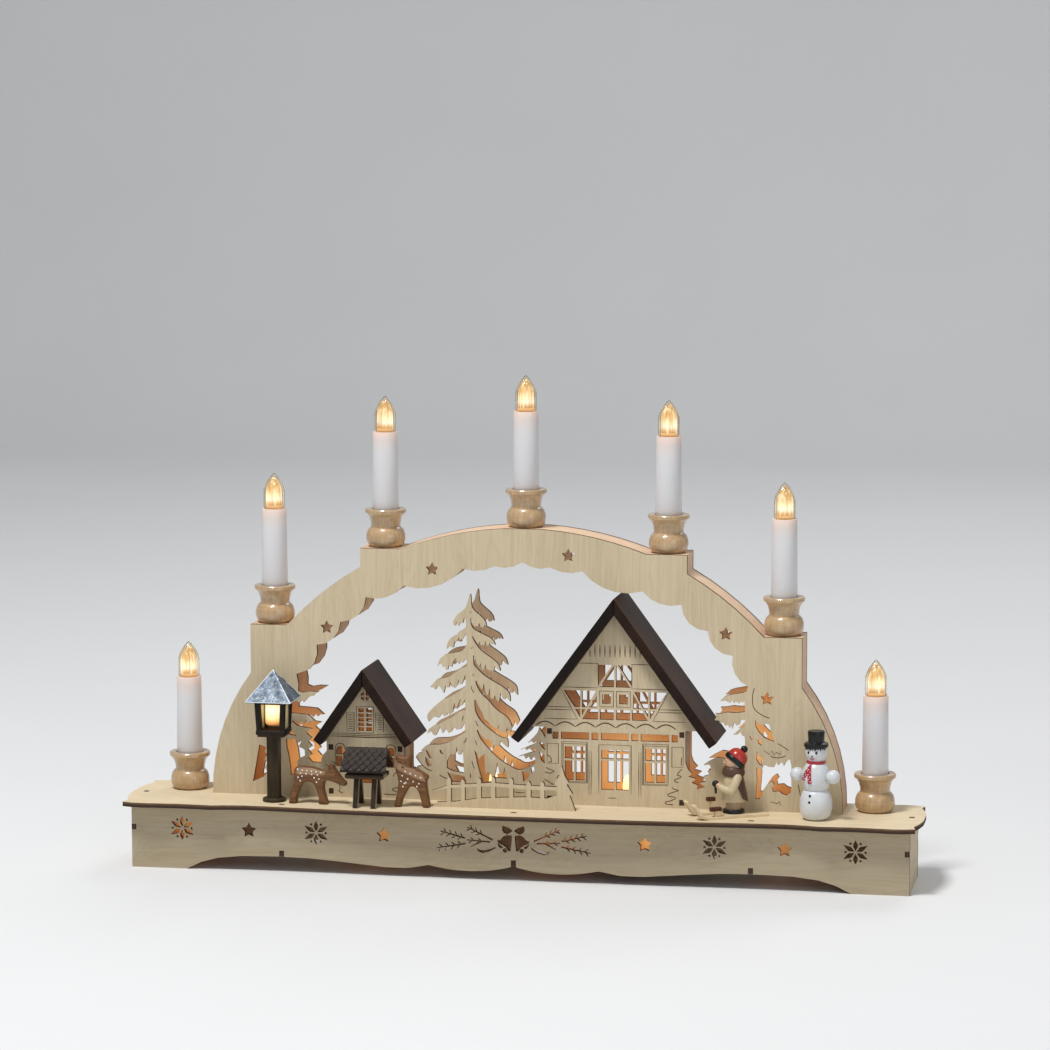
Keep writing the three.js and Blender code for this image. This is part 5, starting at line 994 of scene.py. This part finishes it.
def cape():
    """A cloth shell round the back: at share t down it its distance out grows with t to the power 0.8,
    with folds by the cosine of five times the angle; an inner wall 0.6 mm in closes it."""
    a = np.linspace(-np.pi * 0.62, np.pi * 0.62, 29)[None, :]
    t = np.linspace(0, 1, 14)[:, None]
    turn = a * (1 - 0.5 * t)
    reach = 4.9 + 4.4 * t**0.8 + 0.3 * np.cos(5 * a) * t
    height = 27.6 - 20.4 * t + 3.2 * t * (a / 2) ** 2
    outer = np.stack([reach * np.cos(turn), reach * np.sin(turn), height + 0 * a], axis=-1)
    shrink = np.stack([1 - 0.6 / reach, 1 - 0.6 / reach, 1 + 0 * reach], axis=-1)
    skin = np.concatenate([outer, (outer * shrink)[:, ::-1]], axis=1)
    rows, columns = skin.shape[:2]
    return skin, np.concatenate([grid_quads(rows, columns), strip_ends(rows, columns)])


def man_body():
    """Foot disc, trousers and coat turned about the man's axis; he faces -X."""
    disc = lathe([(0, 0), (6.7, 0), (7, 0.3), (7, 1.9), (6.7, 2.3), (0, 2.3)], around=44)
    on_man("man_base", [disc], black_paint, ["man_figure"])
    trousers = lathe([(0, 2.2), (4.7, 2.2), (4.9, 5), (4.8, 7.9), (0, 7.9)], around=40)
    brown = enamel("trouser_paint", screen(168, 144, 112), 0.34)
    on_man("man_trousers", [trousers], brown)
    coat_line = [
        (7.3, 7.4), (7.6, 7.9), (7.5, 11), (7.1, 15.5), (6.6, 19.6), (5.8, 24), (4.4, 26.6), (3.6, 27.6),
    ]
    coat = lathe(capped(7.3, smooth_line(coat_line, 4), 28.4), around=48)
    sleeves, hands = man_arms()
    on_man("man_coat", [coat, *sleeves], enamel("coat_paint", screen(198, 180, 144), 0.32))
    on_man("man_hands", hands, skin_paint)
    handle = tube([(-11.4, 0, 12.6), (-11.5, 0, 15), (-11.6, 0, 18)], [0.7, 0.8, 0.9], 10)
    on_man("man_handle", [dome(-11.6, 0, 18.8, 2.3, 20, rings=11), handle], black_paint)
    scarf = smooth_line([(3.2, 24.0), (6.3, 23.8), (7.2, 25.2), (7.0, 27.6), (5.9, 29.6), (3.6, 30.2)], 3)
    cloth = enamel("cape_paint", screen(86, 56, 43), 0.45, 0.06)
    on_man("man_cape", [cape(), lathe(scarf, around=44, closed=True)], cloth)


def man_arms():
    """On each side an upper and a lower tube with a ball at shoulder and elbow, and a round hand."""
    arms, hands = [], []
    for s in (-1, 1):
        upper = smooth_line([(1.2, s * 6.0, 23.4), (-0.6, s * 7.4, 19.8), (-3.0, s * 8.0, 15.6)], 5)
        lower = smooth_line([(-3.0, s * 8.0, 15.4), (-6.4, s * 5.8, 16.0), (-9.2, s * 2.8, 17.4)], 5)
        arms.append(tube(upper, np.linspace(2.7, 2.9, len(upper)), 20))
        arms += [dome(-3.1, s * 8.0, 15.5, 2.9, 22, rings=13), dome(1.2, s * 6.0, 23.2, 2.9, 22, rings=13)]
        arms.append(tube(lower, np.linspace(2.8, 2.1, len(lower)), 20))
        hands.append(dome(-10.0, s * 2.0, 17.8, 1.9, 18, rings=11))
    return arms, hands


def man_head():
    """A ball with a round nose, hair of two balls behind it, small domes for eyes, and a mouth
    whose line rises with the square of the angle from the middle."""
    head = [dome(0, 0, 32.6, 5.6, 40, rings=23), dome(-5.6, 0, 32.2, 1.0, 14, (1, 0.9, 0.9))]
    on_man("man_head", head, skin_paint)
    hair = [dome(1.4, s * 2.0, 31.6, 4.5, 28, (0.95, 0.85, 1.0), 15) for s in (-1, 1)]
    on_man("man_hair", hair, enamel("hair_paint", screen(150, 146, 138), 0.4))
    looks = (-0.36, 0.36)
    eyes = [dome(-5.35 * math.cos(b), 5.35 * math.sin(b), 33.3, 0.5, 10, (0.6, 1, 1.2), 7) for b in looks]
    on_man("man_eyes", eyes, black_paint)
    b = np.linspace(-0.3, 0.3, 7)
    smile = tube(np.column_stack([-5.4 * np.cos(b), 5.4 * np.sin(b), 30.2 + 1.4 * b * b]), 0.22, 8)
    on_man("man_mouth", [smile], red_paint)


def man_cap():
    """Turned crown, rolled brim and bobble, tipped back about Y on the head."""
    tilt = math.radians(40)
    tip = np.array([
        [math.cos(tilt), 0, math.sin(tilt)],
        [0, 1, 0],
        [-math.sin(tilt), 0, math.cos(tilt)],
    ])

    def tipped(part):
        """A grid turned by the tilt and raised onto the head."""
        return part[0] @ tip.T + np.array([1.3, 0, 33.9]), part[1]

    crown_line = smooth_line([(6.5, 0.2), (6.6, 1.6), (6.3, 3.6), (5.2, 5.6), (3.2, 6.9), (1.2, 7.4)], 4)
    crown = lathe(capped(0.2, crown_line, 7.45), around=48)
    brim = smooth_line([(5.4, -2.0), (6.7, -2.2), (7.3, -1.0), (7.2, 0.6), (6.5, 1.1), (5.4, 0.6)], 3)
    on_man("man_cap", [tipped(crown)], red_paint)
    trim = [tipped(lathe(brim, around=48, closed=True)), tipped(dome(0, 0, 8.6, 2.3, 22, rings=13))]
    on_man("man_cap_trim", trim, black_paint)


snowman_body()
snowman_hat()
snowman_face()
snowman_scarf()
man_body()
man_head()
man_cap()


def sledge_brackets():
    """Dark bars on top of the sledge's two T-shaped brackets."""
    bars = []
    for u, half, top, v in ((-15, 3.6, 7.4, -7.5), (-12.6, 2.6, 11, 7.5)):
        bar = slab(u - half - 0.2, u + half + 0.2, v - 1.7, v + 1.7, top - 2.3, top + 0.2, 0.3)
        bars.append(moved(bar, SLEDGE_TURN, MAN_X, MAN_Y, DECK))
    piece("sledge_bars", bars, stained("bar_stain", screen(62, 36, 24), screen(96, 62, 44)))


sledge_brackets()


# Fawns

FAWN_THICK = 7
FAWN_ROUNDING = 1.7
GRAZING_Y, ALERT_Y = -21.5, -21


def spot_row(x0, z0, x1, z1, count):
    """Points in X and Z at even steps between two places."""
    return list(zip(np.linspace(x0, x1, count), np.linspace(z0, z1, count)))


def fawn_bodies(stain):
    """Both fawns' outlines, carved from board."""
    grazing = [
        (-148.6, 0), (-147.6, 5.5), (-146.2, 11), (-144.9, 16.6), (-145.4, 20), (-144.6, 23), (-142.4, 24.3),
        (-137, 24.3), (-131.5, 23.6), (-127, 22.2), (-123, 22.4), (-121.4, 24.4), (-119.6, 26), (-118.6, 24),
        (-116.6, 21.4), (-114, 17.6), (-111.2, 14.6), (-111, 12.8), (-113, 12.4), (-117, 14), (-121, 15.4),
        (-124.4, 15.4), (-125.6, 10), (-124, 3.6), (-123.2, 0), (-128.6, 0), (-129, 4), (-130.4, 9.2),
        (-132.4, 13.4), (-136, 14.6), (-139, 13.4), (-141.6, 9), (-143.4, 4.2), (-144, 0),
    ]
    alert = [
        (-79.2, 0), (-78, 6), (-76.8, 12), (-76.4, 17), (-77.6, 22), (-78.4, 25.6), (-77.4, 28.4),
        (-78, 31.6), (-78, 34.4), (-75.6, 33.2), (-73, 32.8), (-70.4, 33), (-67.4, 34.5), (-67.8, 31.4),
        (-68.4, 28.4), (-68, 26), (-64, 24.6), (-60, 22.4), (-57.4, 20.6), (-57, 18.6), (-58, 17.2),
        (-57.8, 12), (-56.8, 6), (-56.2, 0), (-60.2, 0), (-61.6, 5), (-63.4, 10.6), (-66, 13.4), (-69, 13),
        (-71.6, 9), (-74, 4.2), (-75.2, 0),
    ]
    for name, outline, y in (("fawn_grazing", grazing, GRAZING_Y), ("fawn_alert", alert, ALERT_Y)):
        line = smooth_line(outline, 3, closed=True)
        line = np.column_stack([line[:, 0], np.maximum(line[:, 1], 0) + DECK])
        carved(name + "_carved", line, y, FAWN_THICK, FAWN_ROUNDING, stain, [name])


def fawn_spots():
    """Flat domes in rows on both faces of each fawn."""
    back = spot_row(-142.4, 22.6, -127.2, 21, 6) + spot_row(-140.6, 20.2, -129.4, 19.4, 4)
    back += spot_row(-142.2, 17.4, -139.6, 18.2, 2) + [(-140.8, 15.2)]
    back += spot_row(-131.6, 17.4, -128.4, 16.8, 2) + [(-130, 14.6)]
    flank = spot_row(-71.6, 23.4, -61.4, 19.8, 4) + spot_row(-73.6, 20.6, -70, 18.6, 2)
    flank += spot_row(-74.4, 17, -72.2, 15.6, 2) + [(-73.2, 13.6), (-71.2, 16.2)]
    flank += spot_row(-66.4, 17, -62.6, 15.8, 2) + [(-64, 13.8)]
    spots = []
    for y, places in ((GRAZING_Y, back), (ALERT_Y, flank)):
        for face in (y - 3.42, y + 3.42):
            spots += [dome(x, face, DECK + z, 0.58, 8, (1, 0.45, 1), 5) for x, z in places]
    piece("fawn_spots", spots, dot_paint)


def fawn_heads(stain):
    """The grazing fawn's ears as flattened tubes, and the eyes and nose as small domes."""
    ears = []
    for s in (-1, 1):
        points = [(-120.8, s * 2.2, 22.4), (-121.6, s * 3.0, 24.6), (-122.4, s * 3.3, 26.2)]
        line = smooth_line(np.array(points) + [0, GRAZING_Y, DECK], 4)
        ears.append(tube(line, [0.8, 1.1, 1.3, 1.3, 1.2, 1.0, 0.8, 0.5, 0.2], 10, (1, 0.5)))
    piece("fawn_ears", ears, stain)
    eyes = [dome(-117.2, GRAZING_Y + s * 3.4, DECK + 19.6, 0.55, 10, (1, 0.5, 1), 7) for s in (-1, 1)]
    eyes += [dome(x, ALERT_Y - 3.45, DECK + 29.6, 0.5, 10, (1, 0.6, 1), 7) for x in (-74.8, -71.4)]
    eyes.append(dome(-73.2, ALERT_Y - 3.45, DECK + 26.2, 0.7, 12, (1.2, 0.6, 0.8), 7))
    piece("fawn_eyes", eyes, black_paint)


fawn_stain = fawn_stain_painted_highlight()
fawn_bodies(fawn_stain)
fawn_spots()
fawn_heads(fawn_stain)


# Feeding rack

def shingle(side, wide, offset, pitch, down_by):
    """A pointed scale on one slope: a flat ring whose half width falls towards the tip, and which rises
    from the board with the share t along it."""
    ridge = np.array([RACK_X, RACK_Y + side, DECK + 38.15])
    slope = np.array([0, side * 11.8, -12.8])
    out = np.array([0, side * 12.8, 11.8])
    slope, out = slope / np.linalg.norm(slope), out / np.linalg.norm(out)
    t = np.linspace(0, 1, 8)[:, None]
    half = pitch * 0.5 * np.clip(1 - np.clip((t - 0.3) / 0.7, 0, 1) ** 1.5, 0, 1)
    a = np.linspace(0, 2 * np.pi, 8, endpoint=False)[None, :]
    x = np.clip(offset + half * np.cos(a), -wide - 0.6, wide + 0.6)
    along = down_by + t * 4.9 + 0 * a
    rise = 0.2 + 0.62 * t + 0.26 * np.sin(a)
    points = ridge + x[..., None] * np.array([1.0, 0, 0]) + along[..., None] * slope + rise[..., None] * out
    points = np.concatenate([points[:1].mean(axis=1, keepdims=True).repeat(8, axis=1), points])
    return points, grid_quads(*points.shape[:2])


def rack():
    """Scales in five staggered rows on both slopes, and two round rails."""
    shingles = []
    for side in (-1, 1):
        for row in range(5):
            wide = 13.4 + 0.28 * row
            count = 6 if row % 2 else 5
            pitch = 2 * wide / 5.5
            for i in range(count):
                offset = (i - (count - 1) / 2) * pitch
                shingles.append(shingle(side, wide, offset, pitch, 0.6 + row * 3.1))
    scale_grey = stained("shingle_stain", screen(36, 30, 27), screen(70, 60, 54), "Z", 0.5)
    piece("rack_shingles", shingles, scale_grey, sharp=25)
    x = np.array([RACK_X - 12.4, RACK_X, RACK_X + 12.6])
    height = np.full(3, DECK + 20.4)
    rails = [tube(np.column_stack([x, np.full(3, RACK_Y + s * 7.6), height]), 1.5, 14) for s in (-1, 1)]
    rail_brown = stained("rail_stain", screen(50, 40, 30), screen(84, 68, 52))
    piece("rack_rails", rails, rail_brown)


rack()


# Lantern, drawn about the lamp post's own axis and then set in its place

LANTERN_EAVE, LANTERN_TIP = DECK + 66.9, DECK + 85.9
LANTERN_EAVE_HALF = 14.8
TRAY_HALF = 9.6
PANE_FOOT, PANE_TOP = DECK + 47.4, DECK + 66
PANE_HALF = 7.4
PANE_OUT, PANE_FACE = 7.6, 8.2


def at_lamp(parts):
    """Grids moved from the axis through zero to the lamp post."""
    return [moved(part, x=LAMP_X, y=LAMP_Y) for part in parts]


def lantern_roof():
    """Four foil slopes: each row of points runs round a square whose half side falls from the eave to
    the tip, and sums of sines crumple them, less near both ends; bright beads along the hips and the
    eave are painted highlights."""
    rows, steps = 15, 14
    under = LANTERN_EAVE - 0.75
    t = np.linspace(0, 1, rows)[:, None]
    edge = np.linspace(-1, 1, steps, endpoint=False)
    ones = np.ones(steps)
    sides = [(edge, -ones), (ones, edge), (-edge, ones), (-ones, -edge)]
    square = np.concatenate([np.column_stack(side) for side in sides])
    half = LANTERN_EAVE_HALF * (1 - t) + 0.25 * t
    x, y = half * square[:, 0], half * square[:, 1]
    crumple = 0.2 * np.sin(0.7 * x + 0.5 * y + 1) + 0.14 * np.sin(1.1 * y - 0.8 * x)
    held = np.clip(np.minimum(t * 6, (1 - t) * 5), 0, 1)
    z = LANTERN_EAVE + (LANTERN_TIP - LANTERN_EAVE) * t + crumple * held
    slopes = np.stack([x, y, z], axis=-1)
    below = np.column_stack([LANTERN_EAVE_HALF * square, np.full(len(square), under)])[None]
    middle = np.array([0, 0, under]) + np.zeros_like(below)
    top = np.array([0, 0, LANTERN_TIP]) + np.zeros_like(below)
    points = np.concatenate([middle, below, slopes, top])
    parts = at_lamp([(points, grid_quads(*points.shape[:2]))])
    piece("lantern_roof_foil", parts, foil(), replaces=["lamp_roof"], sharp=30)
    corners = LANTERN_EAVE_HALF * np.array([(-1, -1), (1, -1), (1, 1), (-1, 1)])
    eave = np.column_stack([corners, np.full(4, LANTERN_EAVE - 0.2)])
    peak = np.array([0, 0, LANTERN_TIP - 0.15])
    # painted highlights: bright beads along the hips and the eave
    folds = [tube(np.linspace(low, peak, 14), 0.36, 8) for low in eave]
    next_corner = np.roll(eave, -1, axis=0)
    folds += [tube(np.linspace(low, after, 12), 0.26, 8) for low, after in zip(eave, next_corner)]
    bright = Finish("foil_fold_highlight", Metallic=0.2)
    tone = bright.noise((0.5, 0.5, 0.5), 2)
    white = bright.surface(bright.mix(tone, screen(206, 212, 220), screen(240, 242, 246)), 0.4 + tone * 0.1)
    piece("lantern_roof_highlight_folds", at_lamp(folds), white)


def lantern_frame():
    """Stout leaning corner posts, a tray with broken edges, and frosted panes at the back and sides, with a
    painted glow round the lantern's lamp.
    """
    posts = []
    for sx, sy in ((-1, -1), (1, -1), (1, 1), (-1, 1)):
        low = np.array([sx * 7.7, sy * 7.7, DECK + 46])
        high = np.array([sx * 8.7, sy * 8.7, DECK + 66.1])
        posts.append(tube(np.linspace(low, high, 4), 1.8, 8, up=(0, 1, 0)))
    tray = slab(-TRAY_HALF, TRAY_HALF, -TRAY_HALF, TRAY_HALF, DECK + 44.6, DECK + 47.6, 0.4)
    black = stained("frame_stain", screen(22, 18, 14), screen(42, 34, 26), "Z")
    piece("lantern_frame", at_lamp([*posts, tray]), black, sharp=30)
    panes = [slab(-PANE_HALF, PANE_HALF, PANE_OUT, PANE_FACE, PANE_FOOT, PANE_TOP, 0.15)]
    for x0, x1 in ((-PANE_FACE, -PANE_OUT), (PANE_OUT, PANE_FACE)):
        panes.append(slab(x0, x1, -PANE_HALF, PANE_HALF, PANE_FOOT, PANE_TOP, 0.15))
    frosted = Finish("frosted_pane", Roughness=0.5)
    cloud = frosted.noise((0.2, 0.2, 0.2), 2)
    colour = frosted.mix(cloud, screen(138, 138, 116), screen(160, 158, 134))
    # painted glow of the lantern's light on the panes
    painted_lantern_light = frosted.near(LAMP_X, LAMP_Y, DECK + 60, 11) * 0.5
    glow = frosted.mix(painted_lantern_light, BLACK, screen(255, 220, 150))
    frost = frosted.surface(colour, 0.5 + cloud * 0.1, glow=glow)
    piece("lantern_panes", at_lamp(panes), frost)


lantern_roof()
lantern_frame()


# Engraved lines on the front sheet, read from the photograph in X and Z

FINE_LINE = 0.52
BOLD_LINE = 0.78


def box_line(x0, z0, x1, z1):
    """The four sides of an upright rectangle."""
    return [(x0, z0), (x0, z1), (x1, z1), (x1, z0), (x0, z0)]


def both_sides(lines, middle):
    """The lines and their mirror images about an upright line."""
    return lines + [[(2 * middle - x, z) for x, z in line] for line in lines]


def large_facade():
    """Fine lines: beams, window and door casings. Bold lines: gable planks and scalloped valance."""
    c, pitch = 60.2, 3.25
    bold = []
    for k in range(-5, 6):
        top = 149 if abs(k) < 4 else 152.4 - 1.37 * pitch * (abs(k) - 4) - 3
        bold.append([(c + k * pitch, 141), (c + k * pitch, 145), (c + k * pitch, top)])
    half = [
        [(36, 136.7), (43, 136.8), (49.3, 136.7), (49.3, 128), (49.3, 121)],
        [(26, 121), (38, 120.9), (49, 121)],
        [(25.3, 119.6), (30.5, 110), (35.6, 100.4)],
        [(13.5, 108), (22, 107.9), (32, 108)],
        [(13.5, 106.2), (22, 106.2), (32, 106.2)],
        [(14, 100.3), (24, 100.2), (36, 100.3)],
        box_line(50.2, 108.9, 59.2, 119),
        box_line(25.6, 58.8, 42.2, 85.4),
        box_line(26.4, 59.5, 41.5, 84.2),
        box_line(16, 71, 23.3, 84),
        [(43.3, 51), (43.3, 66), (43.3, 80)],
        [(44.7, 51), (44.7, 66), (44.7, 80)],
        [(49.7, 52), (49.7, 68), (49.7, 84), (60, 84.2)],
    ]
    lines = both_sides(half, c)
    lines.append([(55.4, 49.5), (58.4, 49.6), (61.4, 49.5)])
    t = np.linspace(0, 1, 9)
    span = 13.1
    for n in range(7):
        arc = np.column_stack([8.2 + span * (n + t), 95.3 + 3 * np.sin(np.pi * t)])
        bold.append(arc)
    return lines, bold


def small_facade():
    """Fine lines: louvred shutters, window casing, arched side windows and the band above the ground
    floor. Bold line: the lower edge of that band."""
    c = SMALL_HOUSE["x"]
    lines = [box_line(c - 5.6, 87.2, c + 5.6, 104.3)]
    lines += [[(-127, z), (-104, z - 0.1), (-81, z)] for z in (86.4, 85.3)]
    for x0, x1 in ((-116.2, -111.4), (-97, -91.9)):
        lines.append(box_line(x0, 88, x1, 100.2))
        for z in np.arange(89.5, 99.5, 1.5):
            lines.append([(x0 + 0.8, z), ((x0 + x1) / 2, z + 0.15), (x1 - 0.8, z)])
    a = np.linspace(np.pi, 0, 9)
    for side in (-1, 1):
        middle = c + side * 16.8
        arch = np.column_stack([middle + 3.3 * np.cos(a), 76.4 + 3.3 * np.sin(a)])
        lines.append(np.concatenate([[(middle - 3.3, 64)], arch, [(middle + 3.3, 64)]]))
    return lines, [[(-127, 84.3), (-104, 84.1), (-81, 84.3)]]


def trees_and_ground():
    """Short strokes in the trees, bushes, fence and snow."""
    curves = [
        [
            (150.1, 123.9), (149.1, 120.6), (148.8, 115.8), (149.4, 111.7), (151.5, 108.8), (155.6, 106.1),
            (160, 104.6),
        ],
        [(165, 88.5), (168.6, 86.4), (172.3, 84)],
        [(160.3, 80.4), (163.3, 79.3), (166.8, 79.4), (170.3, 80.7)],
        [(-70.5, 72.6), (-67.5, 68.4), (-63.7, 64.9), (-59.9, 63.4)],
        [(-55, 61), (-52, 59.4), (-49, 58.4)],
        [(-33.9, 119.9), (-33.2, 117.4), (-32, 115.4)],
        [(-30.9, 97.3), (-30.1, 95.2), (-29, 93.6)],
        [(-38.8, 100.2), (-39.4, 98.4), (-39.6, 96.8)],
        [(-36.9, 85.9), (-37.6, 84), (-38.8, 82.4)],
        [(-30.9, 84.5), (-30.7, 82.8), (-30.1, 81.2)],
        [(-33.5, 70.9), (-32.8, 68.2), (-31.6, 65.7)],
        [(-34.3, 62.6), (-34.5, 61), (-34.4, 59.6)],
        [(-130.6, 65.4), (-128.2, 64.5), (-126.2, 65)],
        [(-126.6, 67.6), (-124.4, 66.4), (-122.4, 65.2)],
        [(-129.6, 62.4), (-127.4, 61.4), (-125, 62.6)],
        [(-122, 53), (-121, 50.4), (-121.8, 48), (-119, 46.9)],
        [(-85.8, 58.6), (-84.2, 61.2), (-81.4, 61.6)],
        [(-86.6, 50.2), (-84, 51.6), (-80.4, 51.4)],
        [(-86.6, 50.2), (-83.4, 48.8), (-80.6, 49.2)],
        [(-92, 47.2), (-88, 46.9), (-83.6, 47)],
        [(178.2, 62.6), (179.1, 58.8), (179.8, 54.9)],
        [
            (103.8, 70.1), (101, 67.1), (100.6, 65.7), (102.4, 65.5), (102.9, 64.5), (98.8, 62.7),
            (99.8, 61.4), (101.6, 61.3),
        ],
        [
            (97.6, 58.1), (98.2, 56.8), (101.4, 55.9), (97.2, 54.4), (94.7, 53.2), (95.2, 52), (99, 51.5),
            (99.6, 50.6),
        ],
        [(99.6, 50.6), (96, 48.9), (93.3, 48.3), (93.2, 47.1), (95.1, 46.7), (98, 46.5)],
        [(103.4, 77.5), (103.3, 74.7), (103.2, 72)],
        [(15.7, 76.4), (17.5, 75.6), (18.5, 74.2), (18.9, 72.5), (18.1, 71.7), (17.1, 72.3)],
        [(15, 68.3), (17.5, 67.1), (20.5, 65.9), (17.9, 64.5), (15.9, 64.9), (14.4, 65.3)],
        [(14.2, 60.6), (16.7, 59), (19.7, 57.4), (21.9, 58.4), (24.7, 60.2)],
        [(25, 63.9), (23.1, 62.7), (22.5, 61)],
        [(14.1, 58.4), (14.3, 55), (15, 53.7), (20, 53.6), (22.4, 54.8), (24.8, 55.8)],
    ]
    zigzags = [
        [
            (156.2, 83.8), (159.8, 81.2), (161.2, 83.6), (163, 80.8), (164.1, 82.8), (166.8, 81.4),
            (167.4, 83.8),
        ],
        [(160.3, 50.7), (165, 49.6), (166.5, 51.1), (167.4, 48.2)],
        [(6.8, 51.1), (4, 51.4), (3.6, 47.3), (6.2, 47), (13, 47.7)],
        [(-7, 54), (-7.4, 47.4), (1.3, 48)],
        [(-6.8, 51.6), (-2.6, 51.1), (1.7, 51.1)],
        [(-34.2, 168.5), (-33.9, 168), (-33.5, 167.4)],
        [(-33.8, 144), (-33.2, 144.7), (-32.7, 145.5)],
        [(-32.6, 128), (-32.4, 127), (-32.2, 126)],
    ]
    return [smooth_line(curve, 4) for curve in curves] + zigzags


def engraving():
    """All lines as thin raised ribbons in one piece."""
    burn = Finish("engraved_line", Roughness=0.8)
    tone = burn.noise((0.5, 0.5, 0.5), 2)
    dark = burn.surface(burn.mix(tone, screen(58, 39, 23), screen(96, 72, 46)), 0.75 + tone * 0.1)
    large_fine, large_bold = large_facade()
    small_fine, small_bold = small_facade()
    fine = large_fine + small_fine + trees_and_ground()
    thin = [ribbon(line, FINE_LINE, FRONT_SHEET_Y) for line in fine]
    thick = [ribbon(line, BOLD_LINE, FRONT_SHEET_Y) for line in large_bold + small_bold]
    piece("engraved_lines", thin + thick, dark, sharp=20)


engraving()
